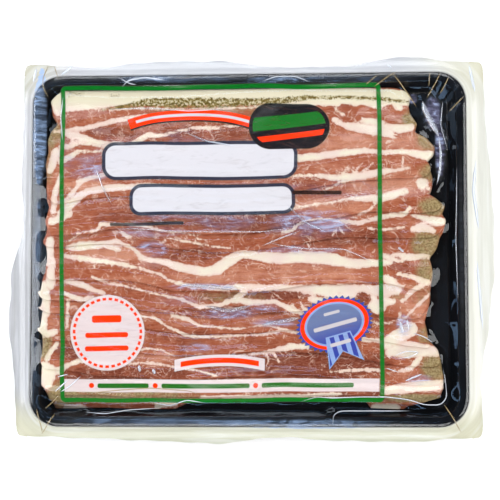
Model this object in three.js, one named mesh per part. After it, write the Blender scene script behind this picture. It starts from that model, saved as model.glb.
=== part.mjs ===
// Sealed pack of shingled streaky bacon: black tray, twelve rashers and a clear bag of two films.
// Millimetres, +Z up. X runs along the rashers, +Y points to the fat edge of the top rasher.
import * as THREE from 'three';

// Tray
const TRAY_LENGTH = 252;
const TRAY_WIDTH = 204;
const TRAY_CORNER = 17;
const TRAY_SMALLEST_CORNER = 5;
const FLOOR_TOP = 1.8;
// Each row of the two tray faces is the inset from the outer edge and the height there.
const TRAY_UPPER = [[11.2, 1.8], [9.2, 3.6], [6.8, 12.5], [5.9, 14.8], [4.2, 16.0], [1.5, 16.0], [0, 14.6], [0, 12.2]];
const TRAY_LOWER = [[11.0, 0.9], [8.3, 3.1], [5.9, 12.3], [5.2, 14.2], [4.0, 15.2], [1.9, 15.2], [0.8, 14.2], [0.8, 12.2]];

// Rashers
const RASHER_COUNT = 12;
const RASHER_THICKNESS = 3.15;
const LAYER_PITCH = 3.6;
const FIRST_ROW = -3;
const ROWS_UNDER = 4;
const ROWS_AT_WALL = 3;
const RESTING_TOP = FLOOR_TOP + 0.3 + RASHER_THICKNESS;
// Where the shingle's step lines cross the middle of the pack, from the fat edge down.
const ROW_Y = [94.5, 79, 63.5, 47.5, 31.5, 11.5, 1, -23.5, -37.5, -48.5, -61, -74.5, -85, -88.5, -91, -93.5];
// Layers of rasher under the surface at each step line.
const ROW_LAYERS = [2, 2.33, 2.67, 3, 4, 4, 4, 4, 4, 4, 4, 4, 3, 2, 1, 0];
const ROW_TILT = [0, 0.01, 0.03, 0.05, 0.06, 0.06, 0.02, -0.02, -0.04, -0.07, -0.05, -0.02, 0, 0, 0, 0];
const ROW_WAVE = [0, 1, 2, 2.5, 3.2, 3.2, 3, 3.4, 3.4, 3.2, 2.6, 1.8, 1, 1, 1, 0.8];
const WAVE_LENGTH = 150;
const WAVE_TURN = 0.33;
// How far the rashers reach to the left and to the right along each step line.
const REACH_LEFT = [113, 113, 116, 117, 117.5, 118.5, 117, 119.5, 120, 119, 118.5, 120, 116, 115, 113, 111];
const REACH_RIGHT = [97, 102, 108.5, 105.5, 107, 114, 108.5, 104, 106, 107, 111.5, 114, 114.5, 113, 111, 108];
const END_RAGGED = 3.5;
const END_ROUNDING = 4.5;
const COLUMN_STEP = 13;
const FIRST_COLUMN = -104;
const LAST_COLUMN = 91;
const UNDULATION = 0.5;
const EDGE_SOFTENING = 0.5;
const WALL_CLEARANCE = 0.6;

// Bag
const FILM = 0.5;
const FLANGE_HEIGHT = 10;
const FLANGE_RIPPLE = 0.7;
const FLANGE_GAP = 0.3;
const BAG_CORNER = 8;
const FILM_CLEARANCE = 0.6;
const FILM_SLOPE = 0.85;
// Width of the welded edge past the tray, in equal steps along each side.
const MARGIN_TOP = [8, 5.7, 8.7, 8.7, 4.3, 4.3, 9.9, 6.5];
const MARGIN_BOTTOM = [6, 7, 8.4, 10.4, 6.2, 8.2, 8.7, 6.5];
const MARGIN_LEFT = [8.5, 10, 13.5, 12.5, 5.6, 6.8, 5.8, 6];
const MARGIN_RIGHT = [8, 7.2, 12, 15.3, 15.5, 14, 11.5, 10.5];
const GRID_HALF_LENGTH = 116;
const GRID_HALF_WIDTH = 92;
const GRID_CORNER = 7;
const CORNER_LINES = [0, 5, 11, 18];
const CELLS_LONG = 11;
const CELLS_WIDE = 14;
const DRAPE_STEP = 2;

const halfLength = TRAY_LENGTH / 2;
const halfWidth = TRAY_WIDTH / 2;
const clamp = (value, low, high) => Math.min(high, Math.max(low, value));
const lerp = (a, b, t) => a + (b - a) * t;

// A repeatable number from 0 to 1 for two whole numbers.
function scatter(a, b) {
  const wave = Math.sin(a * 12.9898 + b * 78.233) * 43758.5453;
  return wave - Math.floor(wave);
}

// The value of an evenly spaced list at t from 0 to 1, with a smooth turn at each entry.
function along(list, t) {
  const place = clamp(t, 0, 1) * (list.length - 1);
  const start = Math.min(Math.floor(place), list.length - 2);
  const part = place - start;
  return lerp(list[start], list[start + 1], part * part * (3 - 2 * part));
}

// The height of a face given as rows of inset and height, at one inset.
function profileHeight(rows, inset) {
  for (let i = 0; i + 1 < rows.length; i += 1) {
    const [outer, inner] = [rows[i + 1], rows[i]];
    if (inset <= inner[0] && inset >= outer[0] && inner[0] > outer[0]) {
      return lerp(outer[1], inner[1], (inset - outer[0]) / (inner[0] - outer[0]));
    }
  }
  return inset > rows[0][0] ? rows[0][1] : rows[rows.length - 1][1];
}

// The inset of the tray's inner wall at a height.
function wallInset(height) {
  const wall = TRAY_UPPER.slice(0, 5);
  for (let i = 0; i + 1 < wall.length; i += 1) {
    if (height <= wall[i + 1][1]) {
      return lerp(wall[i][0], wall[i + 1][0], clamp((height - wall[i][1]) / (wall[i + 1][1] - wall[i][1]), 0, 1));
    }
  }
  return wall[wall.length - 1][0];
}

// A point of a rounded rectangle: (u, v) lies on the square from -1 to 1.
function roundedPoint(u, v, a, b, radius) {
  const x = u * a;
  const y = v * b;
  const overX = Math.abs(x) - (a - radius);
  const overY = Math.abs(y) - (b - radius);
  if (overX <= 0 || overY <= 0) {
    return [x, y];
  }
  const scale = radius / Math.hypot(overX, overY);
  return [Math.sign(x) * (a - radius + overX * scale), Math.sign(y) * (b - radius + overY * scale)];
}

// A closed solid between two sheets that share their triangles; boundary runs counter-clockwise.
function sheetSolid(name, upper, lower, faces, boundary, material) {
  const count = upper.length;
  const index = [];
  for (const [a, b, c] of faces) {
    index.push(a, b, c, count + a, count + c, count + b);
  }
  for (let m = 0; m < boundary.length; m += 1) {
    const here = boundary[m];
    const next = boundary[(m + 1) % boundary.length];
    index.push(count + here, count + next, next, count + here, next, here);
  }
  const geometry = new THREE.BufferGeometry();
  geometry.setAttribute('position', new THREE.Float32BufferAttribute([...upper, ...lower].flat(), 3));
  geometry.setIndex(index);
  geometry.computeVertexNormals();
  const mesh = new THREE.Mesh(geometry, material);
  mesh.name = name;
  return mesh;
}

// Triangles and boundary of a grid whose rows run along X from low Y to high Y.
function gridFaces(columns, rows) {
  const faces = [];
  for (let j = 0; j < rows; j += 1) {
    for (let i = 0; i < columns; i += 1) {
      const a = j * (columns + 1) + i;
      const d = a + columns + 1;
      faces.push([a, a + 1, d + 1], [a, d + 1, d]);
    }
  }
  const id = (i, j) => j * (columns + 1) + i;
  const boundary = [];
  for (let i = 0; i < columns; i += 1) boundary.push(id(i, 0));
  for (let j = 0; j < rows; j += 1) boundary.push(id(columns, j));
  for (let i = columns; i > 0; i -= 1) boundary.push(id(i, rows));
  for (let j = rows; j > 0; j -= 1) boundary.push(id(0, j));
  return { faces, boundary };
}

// Triangles of rings added outside a boundary, each ring with as many points.
function addRings(faces, boundary, firstId, rings) {
  let inner = boundary;
  for (let ring = 0; ring < rings; ring += 1) {
    const outer = boundary.map((_, m) => firstId + ring * boundary.length + m);
    for (let m = 0; m < outer.length; m += 1) {
      const n = (m + 1) % outer.length;
      faces.push([inner[m], outer[m], outer[n]], [inner[m], outer[n], inner[n]]);
    }
    inner = outer;
  }
  return inner;
}

// The lines of the sheet grid on the square from -1 to 1, closer together at the corners.
function gridLines(half, cells) {
  const near = CORNER_LINES.map((distance) => 1 - distance / half);
  const inner = near[near.length - 1];
  const lines = near.map((value) => -value);
  for (let i = 1; i < cells; i += 1) {
    lines.push(lerp(-inner, inner, i / cells));
  }
  return [...lines, ...near.reverse()];
}

const linesX = gridLines(GRID_HALF_LENGTH, CELLS_LONG);
const linesY = gridLines(GRID_HALF_WIDTH, CELLS_WIDE);
const sheetGrid = gridFaces(linesX.length - 1, linesY.length - 1);
const perimeter = sheetGrid.boundary.map((id) => {
  const i = id % linesX.length;
  return [linesX[i], linesY[(id - i) / linesX.length]];
});

function trayRing(inset) {
  const radius = Math.max(TRAY_SMALLEST_CORNER, TRAY_CORNER - inset);
  return perimeter.map(([u, v]) => roundedPoint(u, v, halfLength - inset, halfWidth - inset, radius));
}

// The edge of the bag: the tray's outline widened by each side's own margin.
const bagOutline = perimeter.map(([u, v]) => {
  const across = (u + 1) / 2;
  const up = (v + 1) / 2;
  const a = halfLength + along(u < 0 ? MARGIN_LEFT : MARGIN_RIGHT, up);
  const b = halfWidth + along(v < 0 ? MARGIN_BOTTOM : MARGIN_TOP, across);
  return roundedPoint(u, v, a, b, BAG_CORNER);
});

function ripple([x, y]) {
  return FLANGE_RIPPLE * Math.sin(x / 17) * Math.cos(y / 23);
}

// Step line of the shingle at a place along the pack; straight past the outermost columns.
function rowY(row, x) {
  const i = row - FIRST_ROW;
  const held = clamp(x, FIRST_COLUMN, LAST_COLUMN);
  const wave = (ROW_WAVE[i] * Math.sin((2 * Math.PI * held) / WAVE_LENGTH + 4.2 + WAVE_TURN * Math.min(row, 8)));
  return ROW_Y[i] + ROW_TILT[i] * x + wave;
}

function undulation(x) {
  const held = clamp(x, FIRST_COLUMN, LAST_COLUMN);
  return UNDULATION * (1 + Math.sin(held / 21 + 0.7));
}

// Height of the upper face of a rasher on a step line.
function rasherHeight(number, row, x) {
  const layers = ROW_LAYERS[row - FIRST_ROW] - (number - Math.max(1, row));
  return RESTING_TOP + LAYER_PITCH * layers + undulation(x);
}

function firstRowOf(number) {
  return number <= ROWS_AT_WALL ? FIRST_ROW : number - ROWS_UNDER;
}

// Where a rasher ends on a step line; side is -1 at the left and 1 at the right.
function rasherEnd(number, row, side) {
  const reach = (side < 0 ? REACH_LEFT : REACH_RIGHT)[row - FIRST_ROW];
  const ragged = END_RAGGED * scatter(number, row * 3 + side);
  const atCorner = row === firstRowOf(number) || row === number ? END_ROUNDING : 0;
  const end = reach - ragged - atCorner;
  const underside = rasherHeight(number, row, side * reach) - RASHER_THICKNESS;
  return side * Math.max(Math.min(end, halfLength - wallInset(underside) - WALL_CLEARANCE), LAST_COLUMN + 2);
}

function rasher(number, material) {
  const first = firstRowOf(number);
  const columns = [];
  for (let x = FIRST_COLUMN; x <= LAST_COLUMN; x += COLUMN_STEP) {
    columns.push(x);
  }
  const upper = [];
  const lower = [];
  for (let row = number; row >= first; row -= 1) {
    const places = [rasherEnd(number, row, -1), ...columns, rasherEnd(number, row, 1)];
    places.forEach((x, column) => {
      const z = rasherHeight(number, row, x);
      const limit = halfWidth - wallInset(z - RASHER_THICKNESS) - WALL_CLEARANCE;
      const y = clamp(rowY(row, x), -limit, limit);
      const atEdge = row === number || row === first || column === 0 || column === places.length - 1;
      const softening = atEdge ? EDGE_SOFTENING : 0;
      upper.push([x, y, z - softening]);
      lower.push([x, y, z - RASHER_THICKNESS + softening]);
    });
  }
  const { faces, boundary } = gridFaces(columns.length + 1, number - first);
  return sheetSolid(`rasher_${String(number).padStart(2, '0')}`, upper, lower, faces, boundary, material);
}

// Height of the bacon's surface at a point, or the tray floor where there is none.
function baconSurface(x, y) {
  let height = FLOOR_TOP;
  for (let number = 1; number <= RASHER_COUNT; number += 1) {
    for (let row = firstRowOf(number) + 1; row <= number; row += 1) {
      const [high, low] = [rowY(row - 1, x), rowY(row, x)];
      if (y > high || y < low) {
        continue;
      }
      const part = (high - y) / (high - low);
      const left = lerp(rasherEnd(number, row - 1, -1), rasherEnd(number, row, -1), part);
      const right = lerp(rasherEnd(number, row - 1, 1), rasherEnd(number, row, 1), part);
      if (x >= left && x <= right) {
        const z = lerp(rasherHeight(number, row - 1, x), rasherHeight(number, row, x), part);
        height = Math.max(height, z);
      }
    }
  }
  return height;
}

// The lowest sheet that clears bacon and rim and is nowhere steeper than FILM_SLOPE.
function drapeTable() {
  const wide = Math.round(TRAY_LENGTH / DRAPE_STEP) + 1;
  const tall = Math.round(TRAY_WIDTH / DRAPE_STEP) + 1;
  const table = [];
  for (let j = 0; j < tall; j += 1) {
    const y = -halfWidth + j * DRAPE_STEP;
    for (let i = 0; i < wide; i += 1) {
      const x = -halfLength + i * DRAPE_STEP;
      const inset = Math.min(halfLength - Math.abs(x), halfWidth - Math.abs(y));
      table.push(Math.max(profileHeight(TRAY_UPPER, inset), baconSurface(x, y)) + FILM_CLEARANCE);
    }
  }
  const relax = (i, j, di, dj) => {
    const [p, q] = [i + di, j + dj];
    if (p >= 0 && q >= 0 && p < wide && q < tall) {
      const reach = table[q * wide + p] - FILM_SLOPE * DRAPE_STEP * Math.hypot(di, dj);
      table[j * wide + i] = Math.max(table[j * wide + i], reach);
    }
  };
  for (let j = 0; j < tall; j += 1) {
    for (let i = 0; i < wide; i += 1) {
      [[-1, 0], [0, -1], [-1, -1], [1, -1]].forEach(([di, dj]) => relax(i, j, di, dj));
    }
  }
  for (let j = tall - 1; j >= 0; j -= 1) {
    for (let i = wide - 1; i >= 0; i -= 1) {
      [[1, 0], [0, 1], [1, 1], [-1, 1]].forEach(([di, dj]) => relax(i, j, di, dj));
    }
  }
  return { table, wide, tall };
}

const drape = drapeTable();

// The highest drape within a box about a point, so that flat facets stay clear of the bacon.
function drapeAbove(x, y, reachX, reachY) {
  const { table, wide, tall } = drape;
  const range = (centre, reach, half, size) => [
    clamp(Math.floor((centre - reach + half) / DRAPE_STEP), 0, size - 1),
    clamp(Math.ceil((centre + reach + half) / DRAPE_STEP), 0, size - 1),
  ];
  const [i0, i1] = range(x, reachX, halfLength, wide);
  const [j0, j1] = range(y, reachY, halfWidth, tall);
  let height = 0;
  for (let j = j0; j <= j1; j += 1) {
    for (let i = i0; i <= i1; i += 1) {
      height = Math.max(height, table[j * wide + i]);
    }
  }
  return height;
}

function tray(material) {
  const rings = TRAY_UPPER.length;
  const faces = [];
  const upper = [[0, 0, FLOOR_TOP]];
  const lower = [[0, 0, TRAY_LOWER[0][1]]];
  for (let k = 0; k < rings; k += 1) {
    trayRing(TRAY_UPPER[k][0]).forEach(([x, y]) => upper.push([x, y, TRAY_UPPER[k][1]]));
    trayRing(TRAY_LOWER[k][0]).forEach(([x, y]) => lower.push([x, y, TRAY_LOWER[k][1]]));
  }
  const innermost = perimeter.map((_, m) => 1 + m);
  innermost.forEach((id, m) => faces.push([0, id, innermost[(m + 1) % innermost.length]]));
  const boundary = addRings(faces, innermost, 1 + perimeter.length, rings - 1);
  return sheetSolid('tray', upper, lower, faces, boundary, material);
}

// The lower film: flat under the tray, up its walls and out to the welded edge.
function filmBottom(material) {
  const upperRows = [[10.9, FILM], [7.9, 2.7], [5.6, 8.9]];
  const lowerRows = [[10.6, 0], [7.4, 2.4], [5.0, 8.4]];
  const faces = [];
  const upper = [[0, 0, FILM]];
  const lower = [[0, 0, 0]];
  for (let k = 0; k < upperRows.length; k += 1) {
    trayRing(upperRows[k][0]).forEach(([x, y]) => upper.push([x, y, upperRows[k][1]]));
    trayRing(lowerRows[k][0]).forEach(([x, y]) => lower.push([x, y, lowerRows[k][1]]));
  }
  flangeRings().forEach((point) => {
    upper.push([point[0], point[1], point[2] - FLANGE_GAP / 2]);
    lower.push([point[0], point[1], point[2] - FLANGE_GAP / 2 - FILM]);
  });
  const innermost = perimeter.map((_, m) => 1 + m);
  innermost.forEach((id, m) => faces.push([0, id, innermost[(m + 1) % innermost.length]]));
  const boundary = addRings(faces, innermost, 1 + perimeter.length, upperRows.length + 2);
  return sheetSolid('film_bottom', upper, lower, faces, boundary, material);
}

// Three rings of the welded edge that both films share: by the tray, half way and at the outline.
function flangeRings() {
  const inner = trayRing(-1.6);
  return [0, 0.5, 1].flatMap((part) => bagOutline.map((outer, m) => {
    const point = [lerp(inner[m][0], outer[0], part), lerp(inner[m][1], outer[1], part)];
    return [...point, FLANGE_HEIGHT + ripple(point) * part];
  }));
}

// The upper film: draped over the bacon, over the tray's rim and down to the welded edge.
function filmTop(material) {
  const upper = [];
  const lower = [];
  linesY.forEach((v, j) => linesX.forEach((u, i) => {
    const onEdge = i === 0 || j === 0 || i === linesX.length - 1 || j === linesY.length - 1;
    const radius = onEdge ? GRID_CORNER : 0;
    const [x, y] = roundedPoint(u, v, GRID_HALF_LENGTH, GRID_HALF_WIDTH, radius);
    const gapX = Math.max(u - (linesX[i - 1] ?? u), (linesX[i + 1] ?? u) - u) * GRID_HALF_LENGTH;
    const gapY = Math.max(v - (linesY[j - 1] ?? v), (linesY[j + 1] ?? v) - v) * GRID_HALF_WIDTH;
    const z = drapeAbove(x, y, gapX * 0.55, gapY * 0.55);
    lower.push([x, y, z]);
    upper.push([x, y, z + FILM]);
  }));
  const lowerRows = [[4.3, 16.4], [1.3, 16.4], [-0.4, 14.8], [-0.4, 12.0]];
  const upperRows = [[4.4, 16.9], [1.1, 16.9], [-0.9, 15.0], [-0.9, 12.2]];
  for (let k = 0; k < lowerRows.length; k += 1) {
    trayRing(lowerRows[k][0]).forEach(([x, y]) => lower.push([x, y, lowerRows[k][1]]));
    trayRing(upperRows[k][0]).forEach(([x, y]) => upper.push([x, y, upperRows[k][1]]));
  }
  flangeRings().forEach((point) => {
    lower.push([point[0], point[1], point[2] + FLANGE_GAP / 2]);
    upper.push([point[0], point[1], point[2] + FLANGE_GAP / 2 + FILM]);
  });
  const faces = [...sheetGrid.faces];
  const boundary = addRings(faces, sheetGrid.boundary, linesX.length * linesY.length, lowerRows.length + 3);
  return sheetSolid('film_top', upper, lower, faces, boundary, material);
}

const trayPlastic = new THREE.MeshStandardMaterial({ color: 0x0c1218, roughness: 0.3, metalness: 0 });
const bacon = new THREE.MeshStandardMaterial({ color: 0xb5705a, roughness: 0.5, metalness: 0 });
const film = new THREE.MeshStandardMaterial({ color: 0xe6ecf4, roughness: 0.12, metalness: 0 });
film.transparent = true;
film.opacity = 0.3;

const group = new THREE.Group();
group.add(tray(trayPlastic));
for (let number = 1; number <= RASHER_COUNT; number += 1) {
  group.add(rasher(number, bacon));
}
group.add(filmBottom(film), filmTop(film));

// The middle of the bag's outline stands over the origin.
const outlineBox = new THREE.Box2().setFromPoints(bagOutline.map(([x, y]) => new THREE.Vector2(x, y)));
const middle = outlineBox.getCenter(new THREE.Vector2());
group.position.set(-middle.x, -middle.y, 0);

export default group;
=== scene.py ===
"""Sealed pack of shingled streaky bacon: tray, rashers, clear printed bag and a plain stage.

Sizes inside the shape functions are millimetres from the middle of the tray, with the
surface that the pack lies on at height 0; pieces are stored in metres in the frame.
"""
import math

import bpy
import numpy as np
from mathutils import Matrix, Vector


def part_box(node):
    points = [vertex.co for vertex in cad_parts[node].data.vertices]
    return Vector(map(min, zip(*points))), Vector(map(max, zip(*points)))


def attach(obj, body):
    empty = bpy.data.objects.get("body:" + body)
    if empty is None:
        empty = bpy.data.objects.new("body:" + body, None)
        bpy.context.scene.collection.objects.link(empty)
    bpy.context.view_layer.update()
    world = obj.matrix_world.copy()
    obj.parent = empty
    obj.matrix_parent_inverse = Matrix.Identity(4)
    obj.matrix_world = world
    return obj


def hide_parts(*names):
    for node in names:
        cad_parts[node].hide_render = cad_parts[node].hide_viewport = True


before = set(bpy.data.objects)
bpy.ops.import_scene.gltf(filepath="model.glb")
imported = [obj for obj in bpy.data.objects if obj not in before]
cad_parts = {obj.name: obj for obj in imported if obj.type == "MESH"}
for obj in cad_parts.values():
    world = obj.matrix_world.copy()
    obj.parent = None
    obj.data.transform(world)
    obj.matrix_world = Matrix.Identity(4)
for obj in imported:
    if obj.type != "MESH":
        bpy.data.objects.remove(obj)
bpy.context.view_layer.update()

bl_info = {
    "name": "Bacon pack",
    "version": (1, 0, 0),
    "blender": (4, 5, 0),
    "location": "3D View > Sidebar > Bacon pack",
    "description": "Builds a sealed tray of shingled bacon rashers in a clear printed bag",
    "category": "Add Mesh",
}

MM = 0.001
TRAY_LOW, TRAY_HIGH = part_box("tray")
TRAY_MIDDLE = ((TRAY_LOW + TRAY_HIGH) / 2).to_2d()
HALF_LENGTH = (TRAY_HIGH.x - TRAY_LOW.x) / 2 / MM
HALF_WIDTH = (TRAY_HIGH.y - TRAY_LOW.y) / 2 / MM

# Camera, in millimetres: where it looks and the unit vector back from there
CAMERA_TARGET = Vector((1.62, -0.82, 16.0))
CAMERA_BACK = Vector((0.0637, -0.08, math.sqrt(1 - 0.0637 ** 2 - 0.08 ** 2)))
CAMERA_UP = (Vector((0, 1, 0)) - CAMERA_BACK * CAMERA_BACK.y).normalized()
CAMERA_RIGHT = CAMERA_UP.cross(CAMERA_BACK)
CAMERA_DISTANCE = 900.0
LENS = 112.9
SENSOR = 36.0
PICTURE = 500

# Seams, ridges and tones are placed by the picture's pixels, at this height and scale
PICTURE_PLANE = 17.5
MM_PER_PIXEL = 0.573

# Tray
TRAY_CORNER = 17.0
TRAY_SMALLEST_CORNER = 5.0
FLOOR_TOP = 1.8
RIM_TOP = 16.0
TRAY_UPPER = (
    (11.2, 1.8), (9.2, 3.6), (6.9, 12.5), (6.4, 14.8), (5.9, 15.8), (5.3, 16.0), (1.7, 15.9), (0.5, 14.9), (0, 12.2),
)
TRAY_LOWER = ((11.0, 0.9), (8.3, 3.1), (5.9, 12.3), (5.2, 14.2), (4.0, 15.2), (1.9, 15.2), (0.8, 14.2), (0.8, 12.2))
PROFILE_STEPS = 5
CORNER_STEPS = 24
WALL_POINTS = 5
LIP_INSET = 1.5

# Rashers, as the frame's solids have them
RASHER_COUNT = 12
LAYER_PITCH = 3.6
FLOOR_GAP = 0.3
FIRST_ROW = -3
ROWS_UNDER = 4
ROWS_AT_WALL = 3
ROW_Y = np.array([93.6, 79, 63.5, 47.5, 31.5, 11.5, 1, -23.5, -37.5, -48.5, -61, -74.5, -85, -88.5, -91, -93.5])
ROW_LAYERS = np.array([2, 2.33, 2.67, 3, 4, 4, 4, 4, 4, 4, 4, 4, 3, 2, 1, 0])
ROW_TILT = np.array([0, 0.01, 0.03, 0.05, 0.06, 0.06, 0.02, -0.02, -0.04, -0.07, -0.05, -0.02, 0, 0, 0, 0])
ROW_WAVE = np.array([0, 1, 2, 2.5, 3.2, 3.2, 3, 3.4, 3.4, 3.2, 2.6, 1.8, 1, 1, 1, 0.8])
ROWS = np.arange(len(ROW_Y)) + FIRST_ROW
WAVE_LENGTH = 150.0
WAVE_TURN = 0.33
WAVE_START = 4.2
LAST_TURNED_ROW = 8
# Where the stack ends, in the picture's pixels: column and row along each side
LEFT_EDGE = (
    (60, 86), (53, 90), (48, 100), (50, 115), (56, 124), (50, 130), (46, 140), (47, 152), (44, 165), (45, 185),
    (46, 200), (48, 207), (44, 222), (45, 232), (42, 240), (45, 252), (46, 262), (44, 272), (40, 282), (36.5, 292),
    (36, 306), (40, 316), (38, 320), (37, 332), (41, 338), (41, 346), (40, 356), (38.5, 362), (38, 372), (39, 385),
    (43, 392), (47, 400), (50, 408), (54, 416), (58, 424),
)
RIGHT_EDGE = (
    (398, 84), (408, 88), (412, 95), (409, 104), (411, 112), (418, 122), (416, 130), (428, 136), (436, 146),
    (434, 154), (428, 160), (431, 166), (434, 176), (433, 186), (430, 193), (438, 198), (446, 206), (443, 214),
    (447, 220), (445, 230), (440, 238), (437, 250), (430, 258), (432, 266), (434, 276), (432, 286), (431, 300),
    (428, 312), (426, 322), (428, 332), (430, 342), (438, 350), (442, 362), (444, 376), (445, 388), (441, 398),
    (432, 404), (424, 410),
)
LOWER_EDGE = (
    (40, 390), (50, 408), (58, 420), (72, 421), (86, 416), (94, 411), (150, 411), (172, 410), (184, 402.5),
    (200, 400.5), (240, 401), (300, 399), (366, 400), (372, 410), (385, 414), (400, 414), (408, 406), (425, 402),
    (440, 398),
)
# Where the stack's waves stop along the pack, and its slow rise and fall
FIRST_COLUMN = -104.0
LAST_COLUMN = 91.0
UNDULATION = 0.5
UNDULATION_LENGTH = 21.0
UNDULATION_START = 0.7
WALL_CLEARANCE = 0.6
CORNER_ROUNDING = 6.0
LIP_WIDTH = 9.0
LIP_DROP = 2.2
# A rasher's ends: how ragged they are, where rows are measured, and how corners round off over the rows
RAGGED_MEAN = 0.45
RAGGED_SLOW = 0.3
RAGGED_QUICK = 0.15
END_LINE = 114.0
CORNER_RUN = 12.0
# Its lower edge: the share that stays past the stack's edge, what the film still leans on, and waves of the line
TUCK = 0.12
LIMIT_SLACK = 0.6
WIGGLES = ((0.05, 11.3, 1), (0.05, 23.0, 2))
RASHER_GRID = (200, 56)
# Relief on a rasher's upper face: height, cell of the noise and where its seeds start
RELIEF = ((0.12, 5, 0), (0.08, 2.2, 40))
# How far its faces lie inside the full thickness, and the largest values that the stored fields take
UPPER_FACE_IN = 0.12
LOWER_FACE_IN = 0.05
FIELD_LIMIT = 12.0
TONE_LIMIT = 1.2

# Bag: how far it reaches past the tray along each side, from left to right or from bottom to top
MARGIN_TOP = (8, 5.7, 8.7, 8.7, 4.3, 4.3, 9.9, 6.5)
MARGIN_BOTTOM = (6, 7, 8.4, 9.9, 6.2, 8.2, 8.7, 6.5)
MARGIN_LEFT = (8.5, 10, 13.5, 12.5, 5.6, 6.8, 5.8, 6)
MARGIN_RIGHT = (8, 7.2, 12, 15.3, 15.5, 14, 11.5, 10.5)
BAG_CORNER = 4.0
FLANGE_HEIGHT = 10.0
FLANGE_RIPPLE = 0.7
FLANGE_UPPER = 0.15
FLANGE_LOWER = -0.2
FLANGE_INSET = 3.8
UPPER_GRID = (200, 155)
LOWER_GRID = (60, 48)
# The grid's lines near the tray's outline: millimetres inside it, and share of the margin outside it
RIM_LINES = np.array([0, 0.8, 1.6, 2.4, 3.4, 4.4, 5.4, 6.6, 8, 9.5, 11, 13])
MARGIN_LINES = np.array([0.6, 1.2, 2, 3, 4.5, 6.5, 9, 12]) / 12
EDGE_WAVE = 0.35
# Inset and height of the lower film along the tray's wall
LOWER_WALL = ((3.8, 9.4), (4.8, 9.0), (5.6, 8.4), (7.7, 2.4), (10.6, 0.2), (11.6, 0.0))
# Working out the upper film: cell of its height table, reach past the tray, steepness and how it settles
TABLE_STEP = 0.8
TABLE_MARGIN = 20.0
BELOW_ALL = -9.0
BACON_INSET = 6.0
SKIRT_DROP = 2.2
SKIRT_FALL = 1.9
SKIRT_POWER = 0.8
FILM_SLOPE = 0.24
CONE_STEPS = 44
SETTLING_STEPS = 110
SINK = 0.008
SMOOTHING_STEPS = 3
RIDGE_WIDTH = 1.6
RIDGE_SHARE = 0.6
# Wrinkles: squeeze along the pack, cell and seed of the noise, and height
WRINKLES = ((0.6, 15, 71, 0.3), (0.5, 6, 72, 0.12))
# Folds: spacing of their points, share of their length that tapers, and how far they float over the film
FOLD_STEP = 1.2
FOLD_TAPER = 0.2
FOLD_LIFT = 0.02
# Look of the film: share of the fold's tone (tan crease, or a pale painted highlight) and of the gloss that show,
# and how far the print waves
FOLD_COVER = 0.5
GLOSS_SHARE = 0.75
MOST_GLOSS = 0.6
PRINT_WAVE = 2.0

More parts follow.
